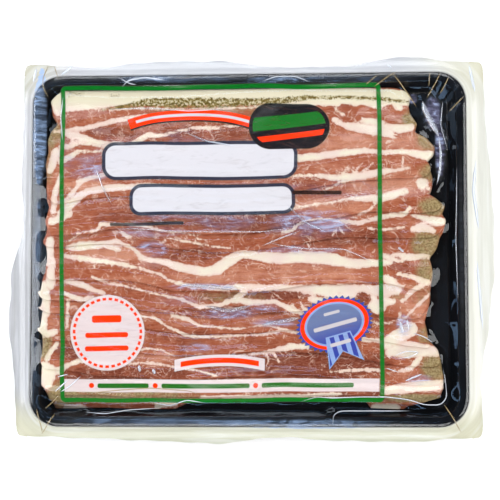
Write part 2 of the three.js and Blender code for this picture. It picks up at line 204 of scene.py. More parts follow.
# Fat seams: x, y and half width along each, in the picture's pixels
SEAMS = (
    ((52, 95, 7), (62, 101, 11), (78, 98, 12), (104, 97, 10), (122, 96, 8), (142, 96, 8.6), (240, 95, 8.8),
     (300, 94, 8), (370, 94, 7.6), (411, 97, 8)),
    ((96, 110, 1), (129, 107.5, 1.2), (180, 107.8, 1.2), (240, 106.8, 1.2), (290, 104, 1.6), (330, 101, 3),
     (398, 105, 3)),
    ((55, 101, 6), (57, 112, 4)),
    ((54, 131, 2), (66, 130, 2.6), (92, 126, 2.6), (112, 120, 2.8), (130, 117, 2.6), (160, 113.5, 2), (190, 112, 1),
     (215, 112, 0.6)),
    ((62, 131, 3), (73, 135, 4.5), (85, 138, 3.4), (97, 142, 2.8), (112, 143, 2.3), (129, 144, 2), (139, 139, 3),
     (147, 134, 3), (161, 135, 1.8), (174, 131, 1.3), (193, 127, 1.4), (213, 127, 2), (240, 124.6, 0.8)),
    ((208, 128, 1.2), (213, 136, 0.8)),
    ((161, 144, 1.2), (180, 148, 1.4), (196, 149, 1.2), (215, 152, 0.8)),
    ((167, 154, 0.8), (196, 158, 1.2)),
    ((60, 147, 2.4), (70, 145, 3), (82, 142, 2.2), (104, 146, 1.8), (128, 148, 0.9)),
    ((60, 162, 3), (68, 157, 3), (78, 151, 2), (91, 151, 1.2), (110, 152, 0.9)),
    ((321, 102, 3), (345, 103, 2), (400, 107, 3)),
    ((336, 108, 1.6), (346, 116, 2), (358, 119, 3), (378, 122, 4), (398, 128, 5), (411, 127, 4)),
    ((334, 119, 3), (350, 125, 5), (372, 129, 5.5), (390, 132, 5)),
    ((318, 132, 2), (334, 127, 3)),
    ((386, 142, 0.9), (400, 136, 1.1)),
    ((284, 160, 2.6), (294, 158, 4), (315, 156.5, 4), (340, 152.7, 3.8), (366, 150, 3), (382, 152, 2.4),
     (402, 151, 2.4), (418, 154, 4), (431, 156, 6), (434, 162, 3)),
    ((284, 177, 1), (300, 175.6, 1.3), (315, 175.5, 1.6), (334, 178, 3.2), (353, 177, 4), (378, 172.5, 3.6),
     (400, 169.5, 1.6), (409, 168, 1)),
    ((331, 168, 0.5), (327, 175, 1)),
    ((349, 165, 0.5), (343, 174, 1.4)),
    ((353, 166, 0.4), (352, 173, 1)),
    ((363, 162, 0.6), (355, 173, 1.8)),
    ((373, 163, 0.6), (362, 172, 1.6)),
    ((340, 171, 0.4), (336, 176, 1)),
    ((403, 156, 0.9), (402, 168, 0.9)),
    ((326, 190, 1.2), (340, 182, 1.3), (352, 179, 2)),
    ((78, 182, 2.6), (91, 178, 2.6), (108, 173, 2.2), (135, 172, 1.2)),
    ((62, 204, 2), (73, 192, 2), (82, 182, 2.2)),
    ((60, 213, 3), (66, 208, 5), (76, 199, 4.6), (86, 192, 3.6), (108, 188, 3.6), (150, 186, 3), (190, 187, 1.6)),
    ((60, 175, 2), (56, 190, 3), (53, 212, 3)),
    ((52, 222, 4), (60, 219, 4), (70, 214, 3)),
    ((280, 210, 1.6), (315, 205, 1.4), (334, 202.4, 1.4), (353, 198.6, 2.2), (378, 198.6, 4), (392, 195, 4.6),
     (405, 191, 3.6)),
    ((422, 183, 6), (426, 189, 5)),
    ((200, 200, 1), (232, 207, 1.6), (262, 211, 1.4), (284, 209, 1)),
    ((282, 232, 1), (291, 231, 1.8), (297, 225, 1.4), (308, 220, 1.2), (328, 219, 1.3), (346, 221.6, 2.2),
     (359, 223, 2), (372, 219, 2.6), (385, 216, 2.4), (404, 214, 2.6), (410, 208, 2)),
    ((346, 221, 1.2), (359, 215, 1.4), (371, 208, 1.4), (377, 201, 1.8)),
    ((368, 228, 1.1), (385, 229.5, 1.3), (405, 227, 1)),
    ((332, 236, 0.7), (339, 227, 1.2), (344, 234, 0.7)),
    ((303, 239, 0.6), (309, 246, 0.8)),
    ((412, 215, 1.6), (424, 218, 3), (436, 222, 5), (443, 221, 4)),
    ((413, 229, 3), (424, 227, 5), (434, 231, 3)),
    ((69, 241, 1), (78, 233.5, 1.4), (97, 230.5, 1.6), (101, 224, 2.4), (111, 225, 1.6), (129, 224, 1.2),
     (148, 227, 1.2), (168, 232, 1.2), (200, 235, 0.7)),
    ((67, 248, 2), (80, 246, 5), (98, 245, 4), (116, 241, 2.4), (128, 246, 2), (137, 252, 2), (145, 260, 2)),
    ((121, 232, 1.6), (136, 242, 2.4)),
    ((105, 244, 3.4), (118, 249, 3)),
    ((162, 243, 0.9), (168, 238, 1), (190, 242, 1.2), (208, 246, 1), (230, 248, 1)),
    ((193, 243, 1), (196, 238, 1), (206, 240, 0.8)),
    ((139, 258.6, 2), (161, 261, 3.2), (180, 267.5, 4.4), (206, 272, 4.6), (218, 269, 6), (231, 259, 6),
     (243, 254, 3.6), (262, 257, 5), (280, 258.6, 5.8), (302, 257, 6), (328, 258.6, 6.4), (353, 264, 5),
     (380, 263, 3.6), (398, 260, 2.4), (418, 257.5, 2.6)),
    ((381, 255.6, 2.2), (400, 255, 2), (428, 257, 2.8)),
    ((64, 256, 2), (82, 258.6, 3), (111, 262.4, 2.4), (142, 268.8, 1.5), (161, 275, 1.3), (170, 281, 1.4),
     (190, 286, 2.2), (220, 288, 2.6), (245, 287, 3), (276, 289, 4.4), (315, 290, 5.4), (340, 289, 5), (372, 290, 5),
     (392, 292, 8), (401, 283, 5)),
    ((92, 262, 1), (95, 268, 1)),
    ((112, 265, 1), (111, 272, 1)),
    ((322, 292, 4), (340, 297, 5), (352, 294, 5)),
    ((310, 299, 3), (326, 302, 4)),
    ((92, 277, 1), (104, 282, 1.5), (129, 287, 1.2), (155, 293.6, 1.1), (180, 298.7, 1.2), (199, 307, 2.2),
     (219, 305, 2.2), (236, 299, 3), (245, 292, 3)),
    ((62, 281, 2), (70, 282, 2.6), (82, 285, 3.6), (93, 290, 2.6), (105, 294, 1.6)),
    ((62, 293, 2), (82, 300, 3), (93, 298, 2)),
    ((68, 300, 2), (67, 328, 1.6)),
    ((236, 299, 4), (251, 303, 3), (276, 301.5, 2), (288, 308, 3), (300, 313, 2.6), (310, 309, 2)),
    ((292, 304, 1.2), (296, 310, 1.2)),
    ((300, 301, 1), (303, 308, 1)),
    ((139, 316, 1.2), (155, 318, 1.2), (168, 327, 1.3), (187, 335.7, 1.6), (200, 337, 1.4), (238, 335.7, 1.2),
     (264, 334.4, 1.3), (282, 330, 1.7), (300, 333, 1.6)),
    ((171, 315, 1.6), (187, 319, 2.2), (199, 325.5, 1.2), (240, 329, 0.9), (264, 324.5, 0.9), (283, 329.5, 1.2)),
    ((134, 351, 1.1), (148, 348.4, 1), (161, 350, 1.2), (174, 356, 1)),
    ((48, 334, 4), (56, 332, 3)),
    ((57, 343, 2), (51, 352, 2.6), (47, 359, 3)),
    ((43, 287, 6), (42, 300, 9), (43, 312, 7)),
    ((42, 321, 6), (43, 333, 5)),
    ((45, 367, 6), (49, 372, 8), (46, 382, 7)),
    ((58, 371, 4), (66, 366, 2.4), (78, 361, 2.4), (92, 362, 1.4), (132, 364, 1.4), (148, 362.4, 1.2),
     (176, 367, 1.2), (196, 370, 1), (218, 376.5, 1)),
    ((266, 353, 1.6), (269, 361, 1.3)),
    ((273, 352, 1.6), (279, 362, 1)),
    ((236, 356, 0.8), (262, 353, 1.6), (276, 350, 2.6), (290, 346.5, 3.4), (308, 347, 2.4)),
    ((330, 372, 0.8), (352, 370, 1.7), (379, 370, 1.9)),
    ((363, 339.5, 2.2), (386, 341, 2.4)),
    ((371, 321.6, 1.4), (382, 324, 1.2), (392, 322, 1)),
    ((371, 300, 7), (376, 308, 6), (389, 301, 7)),
    ((389, 323, 1), (405, 318, 1.6), (417, 306, 1.4), (431, 293, 1.6)),
    ((387, 305, 1), (400, 308, 1.4), (400, 318, 1)),
    ((402, 301, 2), (412, 291, 2.2), (422, 285, 2.4)),
    ((386, 278, 4), (393, 284, 6), (390, 294, 6)),
    ((398, 274, 2), (412, 277, 2.4), (428, 283, 3.4)),
    ((386, 344, 6), (397, 337, 7), (411, 329, 7)),
    ((391, 352, 6), (408, 350, 9), (424, 350, 6), (439, 352, 5)),
    ((398, 372, 1.6), (411, 368, 2.6), (420, 358, 3)),
    ((384, 391, 4), (400, 389, 5), (418, 386, 5.6), (445, 385, 5)),
    ((64, 411, 6), (78, 410, 6)),
    ((155, 406, 3), (173, 404, 3)),
    ((376, 409, 5), (396, 409, 5)),
    ((200, 397, 1.5), (240, 397, 2), (300, 396, 2), (340, 394, 2)),
    ((50, 240, 4), (49, 262, 5)),
    ((56, 152, 5), (50, 170, 4)),
    ((50, 285, 5), (52, 262, 4)),
)
# Lean islands in the broad fat: x, y and the two half sizes, in the same pixels
LEAN_ISLANDS = (
    (345, 107, 9, 4.2), (362, 108, 9, 4.2), (351, 117.5, 11, 4.2), (328, 128, 13, 4), (389, 108, 6, 4),
    (402, 113, 9, 3), (397, 120, 12, 3.6), (196, 254, 30, 8.6), (145, 240, 16, 7), (88, 236, 10, 3.2),
    (277, 295, 30, 4.2), (363, 299, 8, 7), (393, 310, 7, 5.4), (403, 281, 6, 3.6), (397, 362, 12, 5.4),
    (421, 190, 8, 1.2), (398, 297, 7, 2),
)
# Brown thin muscle in the fat cap: x, y and half width along it, and two specks of it: x, y and half sizes
CAP_MUSCLE = (
    (100, 109, 0.6), (122, 105.5, 1.8), (145, 101, 4), (170, 101.5, 5.2), (210, 101.5, 5.2), (240, 101.3, 4.4),
    (275, 100, 3.4), (308, 96.5, 2.4), (340, 95.8, 1.6), (380, 97.5, 1.8), (412, 101, 1.4),
)
CAP_SPECKS = ((74, 92, 14, 5), (113, 94, 8, 3))
# Tone of the lean: x, y, half sizes and how much lighter and pinker (above 0) or darker (below 0)
LEAN_TONES = (
    (95, 118, 30, 9, 0.1), (105, 133, 26, 8, -0.45), (190, 134, 60, 10, -0.5), (165, 142, 30, 8, 0.1),
    (185, 160, 60, 14, 0.55), (88, 166, 22, 14, -0.3), (60, 190, 14, 30, 0.25), (90, 186, 24, 6, 0.6),
    (110, 205, 40, 12, -0.1), (190, 215, 90, 14, -0.55), (255, 222, 60, 10, -0.75), (340, 140, 50, 11, 0.55),
    (412, 142, 26, 12, 0.5), (340, 164, 44, 8, -0.05), (310, 182, 24, 6, -0.3), (380, 186, 36, 10, 0.6),
    (330, 208, 44, 10, 0.5), (340, 236, 40, 11, -0.75), (395, 240, 22, 12, -0.25), (398, 206, 18, 9, -0.05),
    (146, 240, 22, 8, -0.35), (196, 254, 32, 9, -0.5), (110, 254, 40, 6, 0.7), (170, 280, 60, 7, 0.45),
    (290, 272, 90, 11, 0.45), (110, 275, 50, 8, 0.0), (170, 290, 70, 9, -0.15), (220, 296, 30, 6, -0.5),
    (277, 295, 32, 5, -0.85), (222, 311, 50, 5, -0.8), (170, 306, 60, 7, -0.05), (240, 322, 50, 7, 0.2),
    (170, 338, 40, 10, -0.3), (255, 342, 50, 8, -0.15), (155, 357, 30, 5, 0.5), (120, 374, 60, 8, -0.8),
    (230, 372, 50, 9, -0.35), (320, 365, 66, 14, -1.0), (380, 318, 22, 18, -0.2), (406, 271, 24, 9, -0.25),
    (412, 300, 16, 20, 0.5), (400, 376, 20, 9, 0.2), (410, 180, 24, 14, 0.3), (422, 370, 20, 12, 0.0),
    (350, 397, 90, 6, -0.7), (60, 310, 14, 16, 0.2), (75, 352, 22, 8, -0.9), (250, 116, 40, 9, -0.3),
    (363, 299, 9, 8, -0.5),
)
# Olive tone: the colour of dried meat at the rashers' ends, and painted shade along the stack's bottom edge under
# the film and at its left end: x, y, half sizes and strength
OLIVE_AND_SHADE_TONES = (
    (418, 116, 14, 10, 0.9), (427, 138, 12, 14, 0.75), (430, 172, 12, 9, 0.8), (434, 207, 16, 10, 0.95),
    (427, 245, 16, 16, 0.9), (427, 272, 12, 9, 0.75), (422, 292, 12, 14, 0.4), (436, 367, 15, 14, 0.95),
    (428, 335, 12, 10, 0.7), (418, 398, 30, 4, 0.7), (52, 132, 10, 14, 0.8), (48, 165, 6, 26, 0.5),
    (60, 395, 16, 14, 0.85), (230, 297, 40, 7, 0.45), (220, 108, 44, 3, 0.4), (250, 115, 50, 7, 0.35),
    (43, 345, 9, 16, 0.9), (404, 120, 10, 6, 0.35), (130, 396, 70, 6, 0.75), (398, 297, 9, 4, 0.5),
    (405, 400, 50, 5, 0.4),
)
# Ridges and creases pulled up in the film: x, y and half width in pixels, height in millimetres
FILM_RIDGES = (
    ((112, 226, 2.0, 0.2), (140, 228, 2.2, 0.4), (168, 231.5, 2.4, 0.6), (240, 231.6, 2.4, 0.7),
     (278, 232, 2.2, 0.5), (300, 230, 2, 0.1)),
    ((268, 240, 1.8, 0.3), (289, 246, 2.0, 0.6), (308, 249, 2.2, 0.7), (343, 249.6, 2.2, 0.7), (359, 256, 2.0, 0.6),
     (380, 264, 2.0, 0.3)),
    ((150, 280, 2, 0.2), (180, 285, 3, 0.6), (210, 289, 3, 0.6), (240, 291, 2.4, 0.4)),
    ((205, 322, 3, 0.2), (230, 316, 3.4, 0.5), (256, 309, 3.4, 0.6), (278, 306, 3, 0.3)),
    ((262, 327, 3, 0.2), (285, 323, 3, 0.5), (302, 319, 3, 0.3)),
    ((424, 96, 2.4, 0.8), (429, 114, 3, 1.4), (437, 134, 3.4, 1.8), (441, 155, 3.4, 1.8), (440, 178, 3, 1.4),
     (432, 192, 2.4, 0.6)),
    ((392, 80, 1.2, 0.3), (402, 90, 1.6, 0.7), (413, 104, 1.8, 0.7), (418, 118, 1.4, 0.3)),
    ((444, 74, 1.2, 0.4), (438, 88, 1.4, 0.8), (428, 104, 1.6, 0.6)),
    ((462, 84, 1.2, 0.4), (452, 98, 1.4, 0.7), (440, 112, 1.4, 0.3)),
    ((470, 100, 1.2, 0.3), (458, 108, 1.3, 0.6), (448, 120, 1.2, 0.2)),
    ((376, 398, 1.6, 0.3), (398, 398, 1.8, 0.8), (412, 403, 1.8, 0.9), (428, 406, 1.8, 0.9), (440, 402, 1.8, 0.8),
     (448, 388, 1.6, 0.3)),
    ((318, 404, 1.4, 0.3), (332, 411, 1.8, 0.8), (345, 412, 2, 0.8), (400, 411, 2, 0.6)),
    ((330, 414, 1.6, 0.8), (334, 424, 1.6, 0.8)),
    ((282, 400, 1.6, 0.3), (310, 396, 1.8, 0.5), (345, 396, 1.8, 0.4)),
    ((66, 391, 1.6, 0.3), (120, 391, 2, 0.6), (180, 391, 2, 0.6), (200, 400, 1.6, 0.3)),
    ((54, 390, 1.2, 0.3), (66, 376, 1.4, 0.6), (72, 368, 1.2, 0.2)),
    ((44, 420, 1.2, 0.5), (56, 402, 1.4, 0.6), (68, 386, 1.2, 0.2)),
    ((34, 392, 1.2, 0.4), (48, 384, 1.4, 0.6), (58, 372, 1.2, 0.2)),
    ((70, 426, 1.2, 0.5), (84, 414, 1.4, 0.6), (100, 404, 1.2, 0.2)),
    ((38, 86, 1.2, 0.4), (52, 96, 1.4, 0.6), (62, 108, 1.2, 0.2)),
    ((50, 78, 1.2, 0.4), (60, 90, 1.4, 0.5), (70, 98, 1.2, 0.2)),
    ((430, 300, 1.6, 0.2), (440, 312, 2.2, 0.8), (450, 300, 1.8, 0.6), (446, 290, 1.4, 0.2)),
    ((440, 312, 2.2, 0.8), (452, 322, 1.8, 0.6), (448, 340, 1.4, 0.3)),
    ((412, 333, 1.4, 0.3), (424, 337, 1.6, 0.7), (434, 342, 1.6, 0.6), (430, 348, 1.4, 0.3)),
    ((392, 356, 1.4, 0.2), (406, 357, 1.8, 0.5), (424, 353.5, 1.6, 0.3)),
    ((404, 316, 3.5, 0.2), (405, 326, 4, 0.8), (402, 336, 3.5, 0.2)),
    ((408, 190, 1.6, 0.2), (409, 215, 2, 0.5), (407, 245, 1.6, 0.2)),
    ((36, 100, 1.6, 0.6), (39, 140, 2, 0.9), (40, 200, 2, 0.8), (38, 260, 1.8, 0.7), (36, 330, 1.6, 0.5)),
    ((455, 150, 1.6, 0.5), (458, 210, 1.8, 0.7), (458, 290, 1.8, 0.6), (456, 360, 1.6, 0.4)),
    ((120, 80, 1.6, 0.4), (180, 82, 1.8, 0.8), (230, 80, 1.6, 0.5)),
    ((270, 82, 1.6, 0.5), (330, 80, 1.8, 0.8), (372, 80, 1.6, 0.5)),
)

# Folds that stand up from the film: path in pixels, half width and height in millimetres, tone (-1 tan crease, 1
# pale: a painted highlight along the fold)
FOLDS = (
    (((392, 72), (400, 82), (409, 94), (417, 106)), 0.35, 0.3, -1),
    (((441, 71), (436, 82), (427, 97)), 0.3, 0.3, -1),
    (((449, 76), (445, 85), (440, 93)), 0.3, 0.3, -1),
    (((464, 96), (457, 103), (449, 111)), 0.3, 0.3, -1),
    (((430, 70), (429, 86)), 0.25, 0.2, -1),
    (((444, 404), (452, 416), (462, 433)), 0.35, 0.3, -1),
    (((374, 86), (388, 76), (398, 70)), 0.3, 0.3, -1),
    (((55, 413), (47, 424), (39, 435)), 0.3, 0.3, -1),
    (((44, 409), (52, 402), (59, 394)), 0.3, 0.3, -1),
    (((36, 408), (39, 424), (40, 434)), 0.3, 0.3, -1),
    (((46, 63), (41, 76), (43, 88), (48, 97)), 0.3, 0.3, -1),
    (((52, 64), (55, 72), (59, 80)), 0.25, 0.3, -1),
    (((34, 66), (31, 80)), 0.8, 0.3, 1),
    (((70, 64), (60, 74)), 0.7, 0.3, 1),
    (((54, 392), (68, 380)), 0.35, 0.3, 1),
    (((57, 377), (69, 374)), 0.3, 0.3, 1),
    (((60, 392), (70, 386), (81, 376)), 0.3, 0.3, 1),
    (((423, 100), (425, 108), (430, 119), (436, 129), (439, 136)), 1.5, 0.7, 0.55),
    (((439, 136), (441, 152), (440, 172), (437, 184)), 0.7, 0.5, 0.6),
    (((300, 402), (316, 397), (332, 398), (360, 397), (387, 397), (410, 400), (425, 405), (441, 405), (447, 398),
     (446, 384), (443, 368)), 0.3, 0.3, 1),
    (((410, 411), (372, 411), (340, 411), (333, 415), (333, 425)), 0.3, 0.3, 1),
    (((150, 402), (170, 406), (186, 400), (204, 403)), 0.25, 0.25, 1),
    (((66, 391), (90, 393), (120, 390), (150, 388), (190, 391), (205, 398)), 0.25, 0.25, -1),
    (((84, 412), (104, 414), (128, 410), (160, 408)), 0.25, 0.25, 1),
    (((477, 158), (474, 190), (480, 230)), 0.9, 0.3, 1),
    (((470, 63), (476, 90)), 0.8, 0.3, 1),
    (((478, 260), (484, 330)), 0.8, 0.3, 1),
    (((413, 333), (425, 337), (433, 343)), 0.3, 0.4, 1),
    (((392, 357), (406, 351), (420, 352), (408, 358), (396, 358)), 0.3, 0.4, 1),
    (((405, 381), (422, 374)), 0.5, 0.3, 1),
    (((262, 81), (276, 76), (296, 76), (310, 82)), 0.3, 0.3, 1),
    (((120, 78), (130, 84), (136, 84)), 0.3, 0.3, 1),
    (((122, 86), (128, 80), (145, 77), (165, 80)), 0.5, 0.4, 1),
    (((366, 84), (378, 74)), 0.3, 0.3, -1),
    (((387, 62), (392, 66)), 0.5, 0.3, 1),
    (((112, 229), (140, 229), (168, 231), (205, 232), (262, 232), (292, 228)), 0.3, 0.2, 0.45),
    (((268, 243), (289, 247), (308, 249), (343, 249), (358, 255), (374, 263)), 0.3, 0.2, 0.5),
    (((400, 321), (403, 333)), 0.9, 0.2, 0.9),
    (((407, 319), (409, 330)), 0.6, 0.2, 0.9),
    (((139, 365), (140, 372)), 0.9, 0.2, 0.8),
    (((153, 369), (155, 374)), 0.9, 0.2, 0.8),
    (((398, 247), (404, 252)), 0.7, 0.2, 0.7),
    (((106, 108), (150, 107), (188, 110), (230, 108)), 0.3, 0.2, 0.4),
    (((205, 306), (228, 311), (252, 306)), 1.0, 0.2, 0.3),
    (((262, 325), (284, 321), (300, 318)), 1.2, 0.2, 0.35),
    (((180, 285), (212, 287), (240, 290)), 0.9, 0.2, 0.35),
    (((300, 231), (276, 240), (262, 246)), 0.4, 0.2, 0.35),
    (((96, 168), (104, 190), (112, 205)), 0.5, 0.2, 0.3),
    (((186, 132), (204, 140), (236, 146)), 0.5, 0.2, 0.35),
    (((286, 204), (304, 222), (326, 232)), 0.5, 0.2, 0.3),
    (((62, 97), (60, 116), (62, 140)), 0.4, 0.2, 0.35),
    (((443, 100), (441, 124), (448, 150)), 0.3, 0.3, 0.5),
    (((457, 166), (456, 240), (458, 300)), 0.25, 0.3, 0.5),
    (((386, 368), (398, 372)), 0.3, 0.3, 1),
)
# Painted bluish sheen on the film, standing in for reflections of the lights over the meat and on the tray's rim: x,
# y, half sizes and strength
PAINTED_SHEEN_SPOTS = (
    (312, 224, 38, 13, 0.9), (95, 172, 24, 9, 0.6), (225, 222, 30, 9, 0.6), (153, 249, 14, 7, 0.9),
    (205, 287, 34, 3, 1.0), (228, 314, 26, 5, 0.8), (274, 323, 20, 4, 0.9), (196, 348, 14, 4, 0.8),
    (262, 308, 16, 4, 0.9), (170, 215, 30, 6, 0.5), (120, 145, 26, 10, 0.35), (340, 190, 40, 12, 0.35),
    (150, 232, 40, 5, 0.5), (420, 380, 12, 5, 0.7), (300, 250, 36, 4, 0.7), (190, 138, 30, 10, 0.3),
    (39, 128, 5.5, 48, 2.2), (37, 240, 4, 60, 0.45), (34, 350, 2.5, 50, 0.25), (180, 78, 70, 4, 0.35),
    (340, 78, 60, 4, 0.25), (150, 422, 80, 4, 0.45), (300, 424, 80, 4, 0.7), (462, 250, 2.5, 90, 0.15),
    (433, 112, 7, 14, 1.2), (440, 150, 4, 24, 1.0), (404, 325, 7, 9, 1.2), (413, 98, 4, 4, 1.2),
    (135, 160, 60, 10, 0.5), (250, 190, 50, 9, 0.4), (65, 155, 7, 20, 0.4), (180, 300, 24, 5, 0.5),
    (150, 78, 20, 3, 0.5), (280, 79, 30, 3, 0.6),
)

# Print, in millimetres from the middle of the tray: middle, half sizes and corner radius of each box
FRAME_BOX = ((-15.3, 3.9), (91.8, 90.4), 1.8)
FRAME_LEAN = 0.007
FRAME_HALF = 1.25
BLANK_BARS = (((-27.5, 51.2), (54.7, 9.2), 6.0), ((-20.0, 28.4), (46.0, 7.0), 5.0))
BAR_OUTLINE = 2.0
THIN_BARS = (((-57.8, 14.6), (21.0, 0.9), 0.8), ((40.2, 31.9), (13.8, 1.1), 0.8))
ARCH_MIDDLE = (-33.4, -33.4)
ARCH_RADIUS = 111.9
ARCH_TURN = (0.9986, 0.0527)
ARCH_SPAN = 0.369
OVAL = ((24.0, 71.0), (23.5, 13.5), 13.2)
OVAL_LEAN = 0.12
DISC_MIDDLE = (-80.5, -48.0)
DISC_RADIUS = 21.8
DISC_DASHES = 35.0
DISC_BARS = (
    ((-81.0, -40.0), (8.6, 2.1), 1.3),
    ((-81.0, -49.2), (12.6, 1.5), 1.3),
    ((-81.0, -56.9), (12.9, 1.5), 1.3),
)
SMALL_ARCH_MIDDLE = (-15.6, -173.5)
SMALL_ARCH_RADIUS = 109.7
SMALL_ARCH_HALF = 26.0
STRIP = ((-14.9, -78.3), (90.3, 3.7), 0.3)
STRIP_DOTS = ((-89.5, -78.2), (-52.9, -78.2), (5.1, -78.2))
STRIP_BARS = (
    ((-71.4, -78.3), (14.7, 1.35), 1.1),
    ((-23.8, -78.3), (25.5, 1.35), 1.1),
    ((34.7, -78.3), (26.1, 1.35), 1.1),
)
ROSETTE_MIDDLE = (50.2, -43.4)
ROSETTE_HALF = (19.6, 14.0)
ROSETTE_LEAN = math.radians(15)
ROSETTE_TEETH = 38
ROSETTE_BARS = (((0.4, 6.4), (4.6, 0.8), 0.7), ((0.4, -0.6), (12.5, 1.1), 0.7), ((0.4, -11.2), (6.0, 1.0), 0.7))

# Lights: name, place, width and depth in metres, watts and colour
LIGHTS = (
    ("strip_back", (-0.1, 0.56, 1.2), 1.0, 0.1, 0.9, (0.84, 0.91, 1.0)),
    ("panel_top", (-0.1, 0.37, 1.2), 0.62, 0.08, 0.12, (0.42, 0.66, 1.0)),
    ("panel_bottom", (-0.1, -0.15, 1.2), 0.62, 0.06, 0.5, (0.42, 0.66, 1.0)),
    ("panel_left", (-0.82, 0.1, 1.2), 0.96, 0.45, 1.4, (0.5, 0.72, 1.0)),
    ("softbox_left", (-1.15, 0.15, 0.66), 0.9, 0.8, 18.0, (0.97, 0.98, 1.0)),
    ("softbox_back", (0.1, 1.2, 0.82), 1.3, 0.8, 18.5, (0.99, 0.99, 1.0)),
    ("softbox_right", (1.25, -0.2, 0.8), 1.3, 1.0, 21.5, (1.0, 0.98, 0.94)),
    ("softbox_front", (0.0, -1.25, 0.85), 1.3, 1.0, 22.0, (1.0, 0.98, 0.95)),
)
WORLD_STRENGTH = 0.1
FLOOR_REACH = 12.0


def srgb(red, green, blue):
    """Linear colour of an 8-bit display colour."""
    return tuple(((c / 255 + 0.055) / 1.055) ** 2.4 if c > 10 else c / 255 / 12.92 for c in (red, green, blue))


def place(column, row):
    """Millimetres along and across the pack where the camera's ray of a pixel meets the picture plane."""
    scale = SENSOR / LENS / PICTURE
    ray = CAMERA_RIGHT * ((column - PICTURE / 2) * scale) - CAMERA_UP * ((row - PICTURE / 2) * scale) - CAMERA_BACK
    eye = CAMERA_TARGET + CAMERA_BACK * CAMERA_DISTANCE
    met = eye + ray * ((PICTURE_PLANE - eye.z) / ray.z)
    return met.x, met.y


def ease(t):
    """Smooth step from 0 to 1: 3t^2 - 2t^3 of t held between 0 and 1."""
    t = np.clip(t, 0, 1)
    return t * t * (3 - 2 * t)


def along(values, t):
    """Value of an evenly spaced list at t from 0 to 1, eased from each entry to the next."""
    values = np.asarray(values, float)
    spot = np.clip(t, 0, 1) * (len(values) - 1)
    start = np.minimum(spot.astype(int), len(values) - 2)
    return values[start] + (values[start + 1] - values[start]) * ease(spot - start)


def value_noise(x, y, cell, seed):
    """Numbers from -1 to 1 drawn on a square lattice of that cell and eased between its corners."""
    lattice = np.random.default_rng(seed).uniform(-1, 1, (64, 64))
    i, j = np.floor(x / cell).astype(int), np.floor(y / cell).astype(int)
    s, t = ease(x / cell - i), ease(y / cell - j)
    corner = [[lattice[(j + dj) % 64, (i + di) % 64] for di in (0, 1)] for dj in (0, 1)]
    low = corner[0][0] * (1 - s) + corner[0][1] * s
    high = corner[1][0] * (1 - s) + corner[1][1] * s
    return low * (1 - t) + high * t


def path_field(x, y, path, carry=False):
    """Signed distance to a band: half width less the distance to a polyline, widths lerped along it.

    With carry, also the path's fourth number, lerped along the nearest stretch.
    """
    best = np.full(np.shape(x), -1e9)
    carried = np.zeros(np.shape(x))
    for a, b in zip(path[:-1], path[1:]):
        (ax, ay), (bx, by) = place(a[0], a[1]), place(b[0], b[1])
        run = (bx - ax) ** 2 + (by - ay) ** 2
        t = np.clip(((x - ax) * (bx - ax) + (y - ay) * (by - ay)) / run, 0, 1)
        away = np.hypot(x - ax - t * (bx - ax), y - ay - t * (by - ay))
        inside = (a[2] + (b[2] - a[2]) * t) * MM_PER_PIXEL - away
        if carry:
            carried = np.where(inside > best, a[3] + (b[3] - a[3]) * t, carried)
        best = np.maximum(best, inside)
    return (best, carried) if carry else best


def spot_field(x, y, spot):
    """1 at the middle of an ellipse, 0 on its outline and below 0 outside it."""
    middle_x, middle_y = place(spot[0], spot[1])
    return 1 - np.hypot((x - middle_x) / spot[2], (y - middle_y) / spot[3]) / MM_PER_PIXEL


def put_mesh(name, points, faces, body="root"):
    """A smooth mesh object from points in the shape functions' millimetres, riding on a body."""
    points = np.asarray(points, float) * MM
    points[:, 0] += TRAY_MIDDLE.x
    points[:, 1] += TRAY_MIDDLE.y
    mesh = bpy.data.meshes.new(name)
    mesh.from_pydata(points, [], faces)
    mesh.polygons.foreach_set("use_smooth", np.ones(len(mesh.polygons), bool))
    mesh.update()
    piece = bpy.data.objects.new(name, mesh)
    bpy.context.scene.collection.objects.link(piece)
    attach(piece, body)
    return piece


def put_attribute(piece, name, values):
    """A number for each vertex that materials read."""
    attribute = piece.data.attributes.new(name, "FLOAT", "POINT")
    attribute.data.foreach_set("value", np.asarray(values, np.float32).ravel())


def grid_quads(rows, columns):
    """Quads of a grid of points stored row by row, all turning the same way."""
    start = (np.arange(rows - 1)[:, None] * columns + np.arange(columns - 1)).ravel()
    return np.stack([start, start + 1, start + columns + 1, start + columns], 1)


def border(shape):
    """Mask of a grid's outermost points."""
    mask = np.ones(shape, bool)
    mask[1:-1, 1:-1] = False
    return mask


def closed_sheet(upper, lower):
    """Points, quads and kept point numbers of a solid between two grids that share their outermost points."""
    rows, columns = upper.shape[:2]
    count = rows * columns
    edge = border((rows, columns)).ravel()
    under = np.arange(count) + count
    under[edge] = np.arange(count)[edge]
    quads = grid_quads(rows, columns)
    quads = np.concatenate([quads, under[quads[:, ::-1]]])
    points = np.concatenate([upper.reshape(-1, 3), lower.reshape(-1, 3)])
    used = np.unique(quads)
    renumber = np.zeros(len(points), int)
    renumber[used] = np.arange(len(used))
    return points[used], renumber[quads], used


def rounded_loop(half_x, half_y, radius, steps):
    """Points of a rounded rectangle, each corner an arc of that many steps."""
    points = []
    for corner, (sx, sy) in enumerate(((1, 1), (-1, 1), (-1, -1), (1, -1))):
        angle = math.pi / 2 * (corner + np.linspace(0, 1, steps))
        outward = np.stack([np.cos(angle), np.sin(angle)], 1)
        points.append(np.array([sx * (half_x - radius), sy * (half_y - radius)]) + radius * outward)
    return np.concatenate(points)


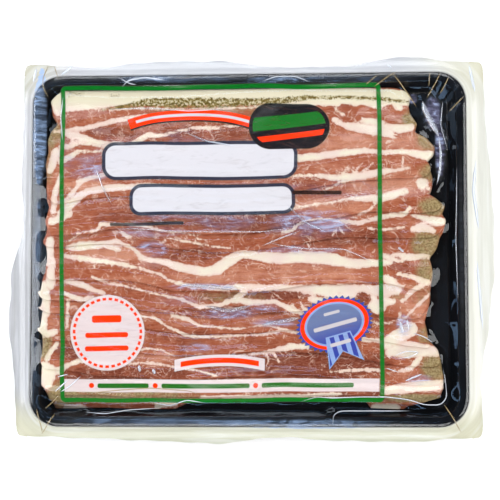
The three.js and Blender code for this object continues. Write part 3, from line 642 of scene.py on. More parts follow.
def smooth_profile(rows, steps):
    """A Catmull-Rom curve through inset and height rows, with that many points a stretch."""
    rows = np.array([rows[0], *rows, rows[-1]], float)
    t = np.linspace(0, 1, steps, endpoint=False)[:, None]
    out = []
    for a, b, c, d in zip(rows[:-3], rows[1:-2], rows[2:-1], rows[3:]):
        square, cube = 2 * a - 5 * b + 4 * c - d, 3 * b - a - 3 * c + d
        out.append(0.5 * (2 * b + (c - a) * t + square * t ** 2 + cube * t ** 3))
    return np.concatenate([*out, rows[-1:]])


def wall_inset(height):
    """Inset of the tray's inner wall at a height."""
    wall = np.array(TRAY_UPPER[:WALL_POINTS])
    return np.interp(height, wall[:, 1], wall[:, 0], right=LIP_INSET)


def row_lines(x):
    """Y of every step line of the shingle at x, rows first: base, tilt and one sine wave."""
    shape = (-1, *[1] * np.ndim(x))
    phase = (WAVE_START + WAVE_TURN * np.minimum(ROWS, LAST_TURNED_ROW)).reshape(shape)
    held = np.clip(x, FIRST_COLUMN, LAST_COLUMN)
    wave = np.sin(2 * math.pi * held[None] / WAVE_LENGTH + phase)
    return ROW_Y.reshape(shape) + ROW_TILT.reshape(shape) * x + ROW_WAVE.reshape(shape) * wave


def undulation(x):
    """Slow rise and fall of the whole stack along the pack."""
    return UNDULATION * (1 + np.sin(np.clip(x, FIRST_COLUMN, LAST_COLUMN) / UNDULATION_LENGTH + UNDULATION_START))


def row_at(x, y):
    """Fractional row of a place: the sum over stretches of how far y is past each."""
    lines = row_lines(x)
    past = np.clip((lines[:-1] - y) / (lines[:-1] - lines[1:]), 0, 1)
    return FIRST_ROW + past.sum(0)


def rasher_height(number, row, x):
    """Upper face of a rasher: resting height, plus a layer for each rasher under it."""
    layers = np.interp(row, ROWS, ROW_LAYERS) - (number - np.maximum(1, row))
    return FLOOR_TOP + FLOOR_GAP + pack_sizes().rasher_thickness / MM + LAYER_PITCH * layers + undulation(x)


def lip_drop(above_edge):
    """How far a rasher thins towards its lower edge, at a distance above that edge."""
    return LIP_DROP * ease(1 - above_edge / LIP_WIDTH)


def first_row(number):
    """Row that a rasher's upper edge reaches under the others."""
    return FIRST_ROW if number <= ROWS_AT_WALL else number - ROWS_UNDER


def row_y(row, x):
    """Y of a fractional row at x."""
    lines = row_lines(x)
    index = np.clip(np.floor(row).astype(int) - FIRST_ROW, 0, len(ROWS) - 2)
    low = np.take_along_axis(lines, index[None], 0)[0]
    high = np.take_along_axis(lines, index[None] + 1, 0)[0]
    return low + (high - low) * (row - ROWS[index])


def edge_table(points):
    """X and Y in millimetres of an edge given in pixels."""
    return np.array([place(column, row) for column, row in points]).T


def lower_limit(x):
    """Y of the stack's lower edge at x."""
    return np.interp(x, *edge_table(LOWER_EDGE))


def rasher_ends(number, row):
    """Left and right end of a rasher on a row: the stack's edge, less ragged waves and rounded corners."""
    ends = []
    for side, points in ((-1, LEFT_EDGE), (1, RIGHT_EDGE)):
        turn = number * 2.1 + side
        ragged = RAGGED_MEAN + RAGGED_SLOW * np.sin(row * 2.3 + turn) + RAGGED_QUICK * np.sin(row * 6.1 + 2 * turn)
        edge_x, edge_y = edge_table(points)
        height = row_y(row, np.full(np.shape(row), side * END_LINE))
        reach = side * np.interp(height, edge_y[::-1], edge_x[::-1])
        low_side = np.abs(number - row)
        high_side = np.abs(row - first_row(number))
        near = CORNER_RUN * np.minimum(low_side, high_side)
        short = np.maximum(CORNER_ROUNDING - near, 0)
        corner = CORNER_ROUNDING - np.sqrt(np.maximum(CORNER_ROUNDING ** 2 - short ** 2, 0))
        end = reach - ragged - corner
        underside = rasher_height(number, row, side * end) - pack_sizes().rasher_thickness / MM
        ends.append(side * np.minimum(end, HALF_LENGTH - wall_inset(underside) - WALL_CLEARANCE))
    return ends


def spread(count, edge):
    """Parameters from 0 to 1, closer together near both ends."""
    t = np.linspace(0, 1, count)
    return (1 - edge) * t + edge * (1 - np.cos(math.pi * t)) / 2


def fat_field(x, y):
    """Signed distance into fat in millimetres, above 0 in fat: the widest of all seams, less islands."""
    field = np.full(np.shape(x), -1e9)
    for seam in SEAMS:
        field = np.maximum(field, path_field(x, y, seam))
    for island in LEAN_ISLANDS:
        inside = spot_field(x, y, island) * min(island[2:]) * MM_PER_PIXEL
        field = np.minimum(field, np.where(inside > -2, -inside, 1e9))
    return np.clip(field, -FIELD_LIMIT, FIELD_LIMIT)


def tone_field(x, y, spots):
    """Sum of soft ellipses, each with its own strength."""
    total = np.zeros(np.shape(x))
    for spot in spots:
        inside = np.clip(spot_field(x, y, spot) + 0.5, 0, 1)
        total += spot[4] * ease(inside)
    return np.clip(total, -TONE_LIMIT, TONE_LIMIT)


def paint_meat(piece, x, y):
    """Stores the fields of fat, cap muscle, lean tone and olive tone on a rasher."""
    put_attribute(piece, "fat", fat_field(x, y))
    muscle = path_field(x, y, CAP_MUSCLE)
    for speck in CAP_SPECKS:
        muscle = np.maximum(muscle, spot_field(x, y, speck) * 1.1 - 0.7)
    put_attribute(piece, "muscle", np.clip(muscle, -FIELD_LIMIT, FIELD_LIMIT))
    put_attribute(piece, "tone", tone_field(x, y, LEAN_TONES))
    put_attribute(piece, "olive", tone_field(x, y, OLIVE_AND_SHADE_TONES))


def build_rasher(number):
    """One rasher: a strip between two step lines, a slab whose edges are rounded off.

    Along it u runs from end to end and v from its lower to its upper edge. Height is the
    stack's own surface, and both faces close to a line at the edge as a quarter ellipse.
    """
    thickness = pack_sizes().rasher_thickness / MM
    u, v = np.meshgrid(spread(RASHER_GRID[0], 0.5), spread(RASHER_GRID[1], 0.6))
    start = first_row(number)
    row = number + (start - number) * v
    left, right = rasher_ends(number, row)
    x = left + (right - left) * u
    wiggle = sum(size * np.sin(x / length + turn * number) for size, length, turn in WIGGLES)
    row = np.clip(row - np.abs(wiggle) * ease(1 - 4 * v), start, number)
    y = row_y(row, x)
    lowest = lower_limit(x)
    y = np.where(y < lowest, lowest + TUCK * (y - lowest), y)
    top = rasher_height(number, row, x)
    limit = HALF_WIDTH - wall_inset(top - thickness) - WALL_CLEARANCE
    y = np.clip(y, -limit, limit)
    width = np.abs(y[0] - y[-1])[None]
    edge = np.minimum(np.minimum(u, 1 - u) * (right - left), np.minimum(v, 1 - v) * width)
    fullness = np.sqrt(1 - (1 - np.clip(edge / (0.5 * thickness), 0, 1)) ** 2)
    relief = sum(rise * value_noise(x, y, cell, seed + number) for rise, cell, seed in RELIEF)
    drop = lip_drop(y - y[:1])
    middle = top - (thickness + drop) / 2
    half = (thickness - drop) / 2
    upper = np.stack([x, y, middle + (half - UPPER_FACE_IN + relief) * fullness], 2)
    lower = np.stack([x, y, middle - (half - LOWER_FACE_IN) * fullness], 2)
    points, quads, _ = closed_sheet(upper[::-1], lower[::-1])
    piece = put_mesh(f"rasher_{number:02d}_slice", points, quads)
    paint_meat(piece, points[:, 0], points[:, 1])
    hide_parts(f"rasher_{number:02d}")
    return piece


def build_tray():
    """The tray: one closed wall profile of inset and height carried round a rounded rectangle."""
    upper = smooth_profile(TRAY_UPPER, PROFILE_STEPS)
    lower = smooth_profile(TRAY_LOWER, PROFILE_STEPS)[::-1]
    profile = np.concatenate([upper, lower])
    rings = []
    for inset, height in profile:
        radius = max(TRAY_SMALLEST_CORNER, TRAY_CORNER - inset)
        loop = rounded_loop(HALF_LENGTH - inset, HALF_WIDTH - inset, radius, CORNER_STEPS)
        rings.append(np.column_stack([loop, np.full(len(loop), height)]))
    count = len(rings[0])
    points = np.concatenate([*rings, [[0, 0, profile[0, 1]], [0, 0, profile[-1, 1]]]])
    a = np.arange(count)
    b = (a + 1) % count
    faces = []
    for ring in range(len(rings) - 1):
        inner, outer = ring * count, (ring + 1) * count
        faces.extend(np.stack([inner + a, outer + a, outer + b, inner + b], 1).tolist())
    top, bottom = len(points) - 2, len(points) - 1
    last = (len(rings) - 1) * count
    faces.extend([top, int(i), int(j)] for i, j in zip(a, b))
    faces.extend([bottom, int(last + j), int(last + i)] for i, j in zip(a, b))
    piece = put_mesh("tray_moulding", points, faces)
    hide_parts("tray")
    return piece


def bacon_surface(x, y):
    """Highest rasher face over each place, or the tray floor."""
    row = row_at(x, y)
    height = np.full(np.shape(x), FLOOR_TOP)
    lines = row_lines(x)
    for number in range(1, RASHER_COUNT + 1):
        left, right = rasher_ends(number, row)
        start = first_row(number) - FIRST_ROW
        inside = (y <= lines[start]) & (y >= np.maximum(lines[number - FIRST_ROW], lower_limit(x) - LIMIT_SLACK))
        inside &= (x >= left) & (x <= right)
        face = rasher_height(number, row, x) - lip_drop(y - lines[number - FIRST_ROW])
        height = np.where(inside, np.maximum(height, face), height)
    return height


def tray_distance(x, y):
    """Distance outside the tray's outline, below 0 inside: the rounded rectangle's own distance."""
    qx = np.abs(x) - (HALF_LENGTH - TRAY_CORNER)
    qy = np.abs(y) - (HALF_WIDTH - TRAY_CORNER)
    return np.hypot(np.maximum(qx, 0), np.maximum(qy, 0)) + np.minimum(np.maximum(qx, qy), 0) - TRAY_CORNER


def flange_height(x, y, outside):
    """Middle of the welded edge: level, with a slow ripple that grows away from the tray."""
    return FLANGE_HEIGHT + FLANGE_RIPPLE * np.sin(x / 17) * np.cos(y / 23) * ease(outside / 12)


def blurred(table):
    """Each cell replaced by the mean of itself and its four neighbours, the cell counting twice."""
    padded = np.pad(table, 1, mode="edge")
    return (2 * table + padded[:-2, 1:-1] + padded[2:, 1:-1] + padded[1:-1, :-2] + padded[1:-1, 2:]) / 6


LOWER, SAME, UPPER = slice(0, -2), slice(1, -1), slice(2, None)
NEIGHBOURS = (
    (LOWER, SAME, 1.0), (UPPER, SAME, 1.0), (SAME, LOWER, 1.0), (SAME, UPPER, 1.0),
    (LOWER, LOWER, 1.414), (LOWER, UPPER, 1.414), (UPPER, LOWER, 1.414), (UPPER, UPPER, 1.414),
)


def film_table():
    """Height of the upper film on a square table: a taut skin sucked down on what it covers.

    It starts as the highest cone that leans on bacon and rim, then is blurred again and
    again, sinking a little each time and never below what it rests on.
    """
    reach_x, reach_y = HALF_LENGTH + TABLE_MARGIN, HALF_WIDTH + TABLE_MARGIN
    xs = np.arange(-reach_x, reach_x + TABLE_STEP, TABLE_STEP)
    ys = np.arange(-reach_y, reach_y + TABLE_STEP, TABLE_STEP)
    x, y = np.meshgrid(xs, ys)
    outside = tray_distance(x, y)
    profile = smooth_profile(TRAY_UPPER, PROFILE_STEPS)
    wall = np.interp(-outside, profile[::-1, 0], profile[::-1, 1])
    bacon = np.where(outside < -BACON_INSET, bacon_surface(x, y), BELOW_ALL)
    rest = np.maximum(np.where(outside <= 0, wall, BELOW_ALL), bacon) + pack_sizes().film_gap / MM
    flange = flange_height(x, y, outside) + FLANGE_UPPER
    skirt = RIM_TOP - SKIRT_DROP - SKIRT_FALL * np.maximum(outside, 0) ** SKIRT_POWER
    rest = np.where(outside > 0, np.maximum(flange, skirt), rest)
    sheet = rest.copy()
    for _ in range(CONE_STEPS):
        padded = np.pad(sheet, 1, mode="edge")
        for rows, columns, fall in NEIGHBOURS:
            part = padded[rows, columns] - fall * FILM_SLOPE * TABLE_STEP
            sheet = np.maximum(sheet, np.where(outside < 0, part, BELOW_ALL))
    for _ in range(SETTLING_STEPS):
        sheet = np.maximum(rest, blurred(sheet) - SINK)
    for _ in range(SMOOTHING_STEPS):
        sheet = blurred(sheet)
    for ridge in FILM_RIDGES:
        inside, lift = path_field(x, y, ridge, carry=True)
        sheet += lift * np.exp(-(np.maximum(-inside, 0) / RIDGE_WIDTH) ** 2) * RIDGE_SHARE
    wrinkle = sum(rise * value_noise(x * squeeze, y, cell, seed) for squeeze, cell, seed, rise in WRINKLES)
    sheet += np.maximum(wrinkle, 0) * ease((-outside - BACON_INSET) / BACON_INSET)
    return xs, ys, sheet


def sample(table, x, y):
    """Bilinear reading of a table at places."""
    xs, ys, heights = table
    i = np.clip((x - xs[0]) / (xs[1] - xs[0]), 0, len(xs) - 1.001)
    j = np.clip((y - ys[0]) / (ys[1] - ys[0]), 0, len(ys) - 1.001)
    i0, j0 = i.astype(int), j.astype(int)
    s, t = i - i0, j - j0
    low = heights[j0, i0] * (1 - s) + heights[j0, i0 + 1] * s
    high = heights[j0 + 1, i0] * (1 - s) + heights[j0 + 1, i0 + 1] * s
    return low * (1 - t) + high * t


def bag_grid(columns, rows):
    """Places of the bag's grid: even inside the tray, stretched to the wavy outline past it.

    Past the tray each line moves out by the side's own margin, and the corner squares are
    squeezed into quarter discs.
    """
    def lines(half, count):
        rim = RIM_LINES / half
        inner = np.linspace(-(1 - rim[-1]), 1 - rim[-1], count)
        past = 1 + MARGIN_LINES
        return np.concatenate([-past[::-1], -(1 - rim[:-1]), inner, (1 - rim[:-1])[::-1], past])

    u, v = np.meshgrid(lines(HALF_LENGTH, columns), lines(HALF_WIDTH, rows))
    across, up = (np.clip(u, -1, 1) + 1) / 2, (np.clip(v, -1, 1) + 1) / 2
    margin_x = np.where(u < 0, along(MARGIN_LEFT, up), along(MARGIN_RIGHT, up))
    margin_y = np.where(v < 0, along(MARGIN_BOTTOM, across), along(MARGIN_TOP, across))
    margin_x = margin_x - EDGE_WAVE * (1.2 + np.sin(v * 31) * np.sin(v * 7))
    margin_y = margin_y - EDGE_WAVE * (1.2 + np.sin(u * 37) * np.sin(u * 9))
    x = np.sign(u) * (np.minimum(np.abs(u), 1) * HALF_LENGTH + np.maximum(np.abs(u) - 1, 0) * margin_x)
    y = np.sign(v) * (np.minimum(np.abs(v), 1) * HALF_WIDTH + np.maximum(np.abs(v) - 1, 0) * margin_y)
    over_x = np.abs(x) - (HALF_LENGTH + margin_x - BAG_CORNER)
    over_y = np.abs(y) - (HALF_WIDTH + margin_y - BAG_CORNER)
    corner = (over_x > 0) & (over_y > 0)
    shrink = np.where(corner, np.maximum(over_x, over_y) / np.maximum(np.hypot(over_x, over_y), 1e-9), 1)
    x = np.where(corner, x - np.sign(x) * over_x * (1 - shrink), x)
    y = np.where(corner, y - np.sign(y) * over_y * (1 - shrink), y)
    return x, y


def fold_strip(table, path, half_width, height):
    """A thin tent along a path on the film: foot, crest and foot at each place, tapered at both ends."""
    knots = np.array([place(column, row) for column, row in path])
    run = np.concatenate([[0], np.cumsum(np.hypot(*np.diff(knots, axis=0).T))])
    spacing = np.linspace(0, run[-1], max(5, int(run[-1] / FOLD_STEP)))
    line = np.stack([np.interp(spacing, run, knots[:, 0]), np.interp(spacing, run, knots[:, 1])], 1)
    for _ in range(3):
        line[1:-1] = (line[:-2] + 2 * line[1:-1] + line[2:]) / 4
    ahead = np.gradient(line, axis=0)
    side = np.stack([-ahead[:, 1], ahead[:, 0]], 1) / np.hypot(*ahead.T)[:, None]
    taper = np.minimum(1, np.minimum(spacing, run[-1] - spacing) / (FOLD_TAPER * run[-1]) + 0.05)[:, None]
    feet = [line - side * half_width * taper, line, line + side * half_width * taper]
    rows = []
    for foot, part in zip(feet, (0.0, 1.0, 0.0)):
        base = sample(table, foot[:, 0], foot[:, 1]) + pack_sizes().film_thickness / MM + FOLD_LIFT
        rows.append(np.column_stack([foot, base + part * height * taper[:, 0]]))
    points = np.stack(rows, 1).reshape(-1, 3)
    start = 3 * np.arange(len(line) - 1)[:, None]
    quads = np.concatenate([start + np.array([[a, a + 3, b + 3, b]]) for a, b in ((0, 1), (1, 2), (2, 0))])
    last = len(points) - 3
    caps = [[0, 1, 2], [last + 2, last + 1, last]]
    return points, quads[:, ::-1].tolist() + [cap[::-1] for cap in caps]


def put_film(name, x, y, upper, lower, node, folds=()):
    """A closed film between two heights over the bag's grid, with its outer side and folds marked."""
    edge = border(x.shape)
    lower = np.where(edge, upper, lower)
    points, quads, used = closed_sheet(np.stack([x, y, upper], 2), np.stack([x, y, lower], 2))
    faces = quads.tolist()
    tones = [np.zeros(len(points))]
    for strip, strip_faces, tone in folds:
        count = sum(len(t) for t in tones)
        faces.extend([count + corner for corner in face] for face in strip_faces)
        points = np.concatenate([points, strip])
        tones.append(np.full(len(strip), float(tone)))
    piece = put_mesh(name, points, faces)
    added = len(points) - len(used)
    rim = np.append(np.isin(used, np.arange(x.size)[edge.ravel()]), np.zeros(added, bool))
    ends = np.empty(2 * len(piece.data.edges), np.int32)
    piece.data.edges.foreach_get("vertices", ends)
    sharp = piece.data.attributes.new("sharp_edge", "BOOLEAN", "EDGE")
    sharp.data.foreach_set("value", rim[ends.reshape(-1, 2)].all(1))
    put_attribute(piece, "upper", np.append(used < x.size, np.ones(added)).astype(float))
    put_attribute(piece, "fold", np.concatenate(tones))
    # The sheen field paints bluish reflections onto the film, over the meat and the tray's rim
    put_attribute(piece, "sheen", tone_field(points[:, 0], points[:, 1], PAINTED_SHEEN_SPOTS))
    piece.visible_diffuse = False  # clear film changes bounced light too little to be worth its time
    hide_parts(node)
    return piece


def build_upper_film():
    """The printed film: the taut skin's table read over the bag's grid."""
    x, y = bag_grid(*UPPER_GRID)
    table = film_table()
    height = sample(table, x, y)
    folds = [(*fold_strip(table, path, half_width, rise), tone) for path, half_width, rise, tone in FOLDS]
    return put_film("printed_film", x, y, height + pack_sizes().film_thickness / MM, height, "film_top", folds)


def build_lower_film():
    """The lower film: flat under the tray, up along its wall and out to the welded edge."""
    x, y = bag_grid(*LOWER_GRID)
    outside = tray_distance(x, y)
    wall = np.interp(-outside, *np.transpose(LOWER_WALL))
    flange = flange_height(x, y, outside) + FLANGE_LOWER
    height = np.where(outside > -FLANGE_INSET, flange - 0.4 * ease(-outside / FLANGE_INSET), wall)
    return put_film("lower_film", x, y, height + pack_sizes().film_thickness / MM, height, "film_bottom")


class Value:
    """A number that varies over a surface; its operators add Math nodes."""

    def __init__(self, graph, socket):
        self.graph = graph
        self.socket = socket

    def maths(self, operation, *others, first=None):
        """The result of a Math node on this value, or on first and this one."""
        inputs = [self if first is None else first, *others]
        node = self.graph.node("ShaderNodeMath", {"operation": operation}, dict(enumerate(inputs)))
        return Value(self.graph, node.outputs[0])

    def __add__(self, other):
        return self.maths("ADD", other)

    def __sub__(self, other):
        return self.maths("SUBTRACT", other)

    def __mul__(self, other):
        return self.maths("MULTIPLY", other)

    def __truediv__(self, other):
        return self.maths("DIVIDE", other)

    def __pow__(self, other):
        return self.maths("POWER", other)

    def __rsub__(self, other):
        return self.maths("SUBTRACT", self, first=other)

    def __rtruediv__(self, other):
        return self.maths("DIVIDE", self, first=other)

    def __neg__(self):
        return self.maths("MULTIPLY", -1.0)

    def __abs__(self):
        return self.maths("ABSOLUTE")

    __radd__ = __add__
    __rmul__ = __mul__

    def least(self, other):
        """The smaller of two values."""
        return self.maths("MINIMUM", other)

    def most(self, other):
        """The larger of two values."""
        return self.maths("MAXIMUM", other)

    def sine(self):
        """Sine of an angle in radians."""
        return self.maths("SINE")

    def step(self, low, high):
        """0 below low, 1 above high and eased between them."""
        node = self.graph.node(
            "ShaderNodeMapRange", {"interpolation_type": "SMOOTHSTEP"}, {0: self, 1: low, 2: high, 3: 0.0, 4: 1.0}
        )
        return Value(self.graph, node.outputs[0])


class Graph:
    """The nodes of one material."""

    def __init__(self, name):
        self.material = bpy.data.materials.new(name)
        self.material.use_nodes = True
        self.tree = self.material.node_tree
        self.tree.nodes.clear()
        self.out = self.tree.nodes.new("ShaderNodeOutputMaterial")

    def node(self, kind, settings=None, inputs=None):
        """Adds a node, sets its settings first and then the values or links of its sockets."""
        node = self.tree.nodes.new(kind)
        for key, value in (settings or {}).items():
            setattr(node, key, value)
        for key, value in (inputs or {}).items():
            socket = node.inputs[key]
            if isinstance(value, Value):
                self.tree.links.new(value.socket, socket)
            elif isinstance(value, bpy.types.NodeSocket):
                self.tree.links.new(value, socket)
            else:
                socket.default_value = value
        return node

    def millimetres(self):
        """The place on the piece, in millimetres from the middle of the tray."""
        spot = self.node("ShaderNodeTexCoord").outputs["Object"]
        moved = self.node(
            "ShaderNodeVectorMath", {"operation": "SUBTRACT"}, {0: spot, 1: (TRAY_MIDDLE.x, TRAY_MIDDLE.y, 0.0)}
        )
        scaled = self.node("ShaderNodeVectorMath", {"operation": "SCALE"}, {0: moved.outputs[0], "Scale": 1 / MM})
        return scaled.outputs[0]

    def parts(self, vector):
        """X, Y and Z of a vector as values."""
        return [Value(self, s) for s in self.node("ShaderNodeSeparateXYZ", {}, {0: vector}).outputs]

    def joined(self, x, y, z):
        """A place from three values."""
        return self.node("ShaderNodeCombineXYZ", {}, {0: x, 1: y, 2: z}).outputs[0]

    def angle(self, y, x):
        """The angle of a direction, from -pi to pi."""
        return Value(self, self.node("ShaderNodeMath", {"operation": "ARCTAN2"}, {0: y, 1: x}).outputs[0])

    def blended(self, factor, first, second):
        """A shader between two shaders."""
        return self.node("ShaderNodeMixShader", {}, {0: factor, 1: first, 2: second}).outputs[0]

    def stretched(self, vector, x, y, z):
        """A place scaled along each axis."""
        return self.node("ShaderNodeVectorMath", {"operation": "MULTIPLY"}, {0: vector, 1: (x, y, z)}).outputs[0]

    def noise(self, vector, scale, detail=3.0, roughness=0.55, distortion=0.0):
        """Noise from 0 to 1 with that many turns a millimetre."""
        node = self.node(
            "ShaderNodeTexNoise", {},
            {"Vector": vector, "Scale": scale, "Detail": detail, "Roughness": roughness, "Distortion": distortion},
        )
        return Value(self, node.outputs["Fac"])

    def attribute(self, name):
        """A number that the mesh stores for each vertex."""
        return Value(self, self.node("ShaderNodeAttribute", {"attribute_name": name}).outputs["Fac"])

    def mixed(self, factor, first, second):
        """A colour between two colours."""
        def colour(c):
            return c if isinstance(c, bpy.types.NodeSocket) else (*c, 1.0)

        node = self.node("ShaderNodeMix", {"data_type": "RGBA"}, {0: factor, 6: colour(first), 7: colour(second)})
        return node.outputs[2]

    def covered(self, colour, layers):
        """A colour with layers of mask and colour over it, one after the other."""
        for mask, paint in layers:
            colour = self.mixed(mask, colour, paint)
        return colour

    def bump(self, height, distance):
        """Normals tilted by a height of 0 to 1 over that many metres."""
        return self.node("ShaderNodeBump", {}, {"Height": height, "Distance": distance}).outputs[0]

    def principled(self, inputs):
        """The standard surface shader."""
        return self.node("ShaderNodeBsdfPrincipled", {}, inputs).outputs[0]

    def finish(self, shader):
        """Puts the shader out and gives back the material."""
        self.tree.links.new(shader, self.out.inputs[0])
        return self.material


def marbling(g, spot, x, y, warp):
    """Share of fat in the lean: thin veins, cross veins and flecks."""
    vein_place = g.joined(x + warp * 0.4, y * 1.25 - warp * 0.5, 3.0)
    vein_line = 1 - abs(g.noise(vein_place, 0.10, 3.5, 0.55, 0.8) - 0.5).step(0.0, 0.022)
    vein_where = g.noise(spot, 0.12, 2.0).step(0.4, 0.56)
    near_fat = g.attribute("fat").step(-8.0, -0.5)
    veins = vein_line * vein_where * (0.45 + 0.55 * near_fat) * 0.9
    cross_noise = g.noise(g.stretched(vein_place, 1.5, 0.7, 1.0), 0.16, 3.0, 0.55, 0.5)
    cross_line = 1 - abs(cross_noise - 0.47).step(0.0, 0.016)
    cross = cross_line * g.noise(spot, 0.16, 2.0, 0.5, 1.0).step(0.5, 0.6) * 0.7
    flecks = g.noise(vein_place, 0.75, 3.0, 0.7).step(0.62, 0.72) * g.noise(spot, 0.09, 1.0).step(0.38, 0.62) * 0.4
    return veins.most(flecks).most(cross)


def lean_colour(g, spot, fibre_place, grain, olive_and_shade, veins):
    """Brown-red lean: dark to pink by its tone, then grain, mottle, olive parts and veins over it."""
    colours = bpy.context.scene.pack_colours
    patches = (g.noise(spot, 0.08, 2.0) - 0.5) * 0.9 + (g.noise(fibre_place, 0.4, 3.0) - 0.5) * 0.7
    tone = g.attribute("tone") * 0.62 + 0.5 + patches
    mottle = g.noise(spot, 1.1, 4.0, 0.7)
    olive = g.mixed(g.noise(spot, 0.9, 3.0).step(0.35, 0.65), srgb(124, 112, 70), srgb(176, 164, 118))
    return g.covered(colours.lean_dark[:], (
        (tone.step(0.0, 0.5), colours.lean[:]),
        (tone.step(0.45, 1.0), colours.lean_pink[:]),
        (grain.step(0.4, 0.7) * 0.4, srgb(204, 138, 112)),
        ((1 - grain).step(0.5, 0.75) * 0.4, srgb(112, 42, 22)),
        (mottle.step(0.52, 0.72) * 0.35, srgb(208, 150, 124)),
        ((1 - mottle).step(0.52, 0.72) * 0.3, srgb(104, 40, 22)),
        # Olive tone: dried meat's colour, and painted shade along the stack's bottom edge
        (olive_and_shade * 0.85, olive),
        (veins * (1 - olive_and_shade * 0.85), srgb(232, 196, 178)),
    ))


def fat_colour(g, spot, y, fat_depth, olive_and_shade):
    """Cream fat: pinker in patches and beside the lean, yellower in the cap and in olive parts."""
    colours = bpy.context.scene.pack_colours
    return g.covered(colours.fat[:], (
        (g.noise(spot, 0.05, 2.0).step(0.35, 0.65), colours.fat_pink[:]),
        ((1 - fat_depth.step(0.2, 1.5)) * 0.5, srgb(232, 190, 172)),
        (g.noise(spot, 0.5, 3.0).step(0.55, 0.75) * 0.22, srgb(226, 200, 176)),
        ((y - 80).step(0.0, 8.0), srgb(240, 231, 202)),
        # Olive tone yellows the fat: dried meat, and painted shade along the stack's bottom edge
        (olive_and_shade * 0.35, srgb(196, 182, 132)),
    ))


def bacon_material():
    """Cured meat: lean with grain and thin veins, cream fat, olive parts (dried meat, and painted shade along the
    stack's bottom edge) and cap muscle.
    """
    g = Graph("cured_bacon")
    spot = g.millimetres()
    x, y, _ = g.parts(spot)
    edge = g.noise(spot, 0.32, 4.0, 0.6) * 3.4 - 1.7
    fine = g.noise(spot, 1.5, 2.0) * 1.2 - 0.6
    teeth = g.noise(g.stretched(spot, 1.0, 0.45, 1.0), 0.9, 2.0) * 1.5 - 0.75
    fat_depth = g.attribute("fat") + edge * 0.7 + fine * 0.6 + teeth * 0.8
    fat = fat_depth.step(-0.3, 0.4)
    # Olive tone: the colour of dried meat at the rashers' ends, and painted shade along the stack's bottom edge and
    # at its left end
    olive_and_shade = (g.attribute("olive") + (g.noise(spot, 0.3, 3.0) - 0.5) * 0.9).step(0.1, 1.0)

    warp = g.noise(spot, 0.06, 2.0) * 26
    fibre_place = g.joined(x * 0.22 + warp * 0.05, y * 1.5 + warp * 0.25, 0.0)
    grain = g.noise(fibre_place, 1.0, 4.0, 0.65)
    lean = lean_colour(g, spot, fibre_place, grain, olive_and_shade, marbling(g, spot, x, y, warp))

    granules = g.noise(spot, 0.7, 2.0, 0.6)
    muscle = (g.attribute("muscle") + edge * 0.6 + fine * 2.4).step(-0.4, 0.4)
    muscle = muscle * (0.35 + 0.65 * granules.step(0.4, 0.5))
    muscle_colour = g.mixed(granules.step(0.46, 0.6), srgb(160, 142, 80), srgb(106, 86, 32))

    relief = fat * 0.10 + grain * 0.05 + granules * muscle * 0.12 + fine * 0.03
    shader = g.principled({
        "Base Color": g.covered(lean, (
            (fat, fat_colour(g, spot, y, fat_depth, olive_and_shade)),
            (muscle, muscle_colour),
        )),
        "Roughness": 0.42 + 0.18 * fat,
        "Specular IOR Level": 0.2,
        "Normal": g.bump(relief, 0.6 * MM),
    })
    return g.finish(shader)


def tray_material():
    """Black thermoformed plastic with a satin gloss, faint flow streaks and fine pimples."""
    g = Graph("black_tray_plastic")
    spot = g.millimetres()
    streaks = g.noise(g.stretched(spot, 0.15, 0.15, 1.0), 0.6, 3.0)
    pimples = g.noise(spot, 1.6, 2.0)
    shader = g.principled({
        "Base Color": g.mixed(streaks.step(0.3, 0.7), srgb(5, 8, 13), srgb(11, 16, 25)),
        "Roughness": 0.16 + 0.16 * streaks,
        "Specular IOR Level": 0.3,
        "Normal": g.bump(streaks * 0.5 + pimples * 0.05, 0.25 * MM),
    })
    return g.finish(shader)


def box_distance(x, y, middle, half, radius):
    """Signed distance to a rounded box, below 0 inside, for values x and y."""
    qx = abs(x - middle[0]) - (half[0] - radius)
    qy = abs(y - middle[1]) - (half[1] - radius)
    over_x, over_y = qx.most(0.0), qy.most(0.0)
    return (over_x * over_x + over_y * over_y) ** 0.5 + qx.most(qy).least(0.0) - radius


def ink(distance, soft=0.25):
    """1 inside a shape and 0 outside it, over a soft edge in millimetres."""
    return 1 - distance.step(-soft, soft)


def distance_from(x, y, middle):
    """Distance of the values x and y from a place."""
    dx, dy = x - middle[0], y - middle[1]
    return (dx * dx + dy * dy) ** 0.5


def layered(g, layers):
    """Colour and cover of print: each layer of mask, colour and cover lies over those before it."""
    (mask, colour, strength), *above = layers
    cover = mask * strength
    for mask, paint, strength in above:
        colour = g.mixed(mask, colour, paint)
        cover = cover * (1 - mask) + mask * strength
    return colour, cover


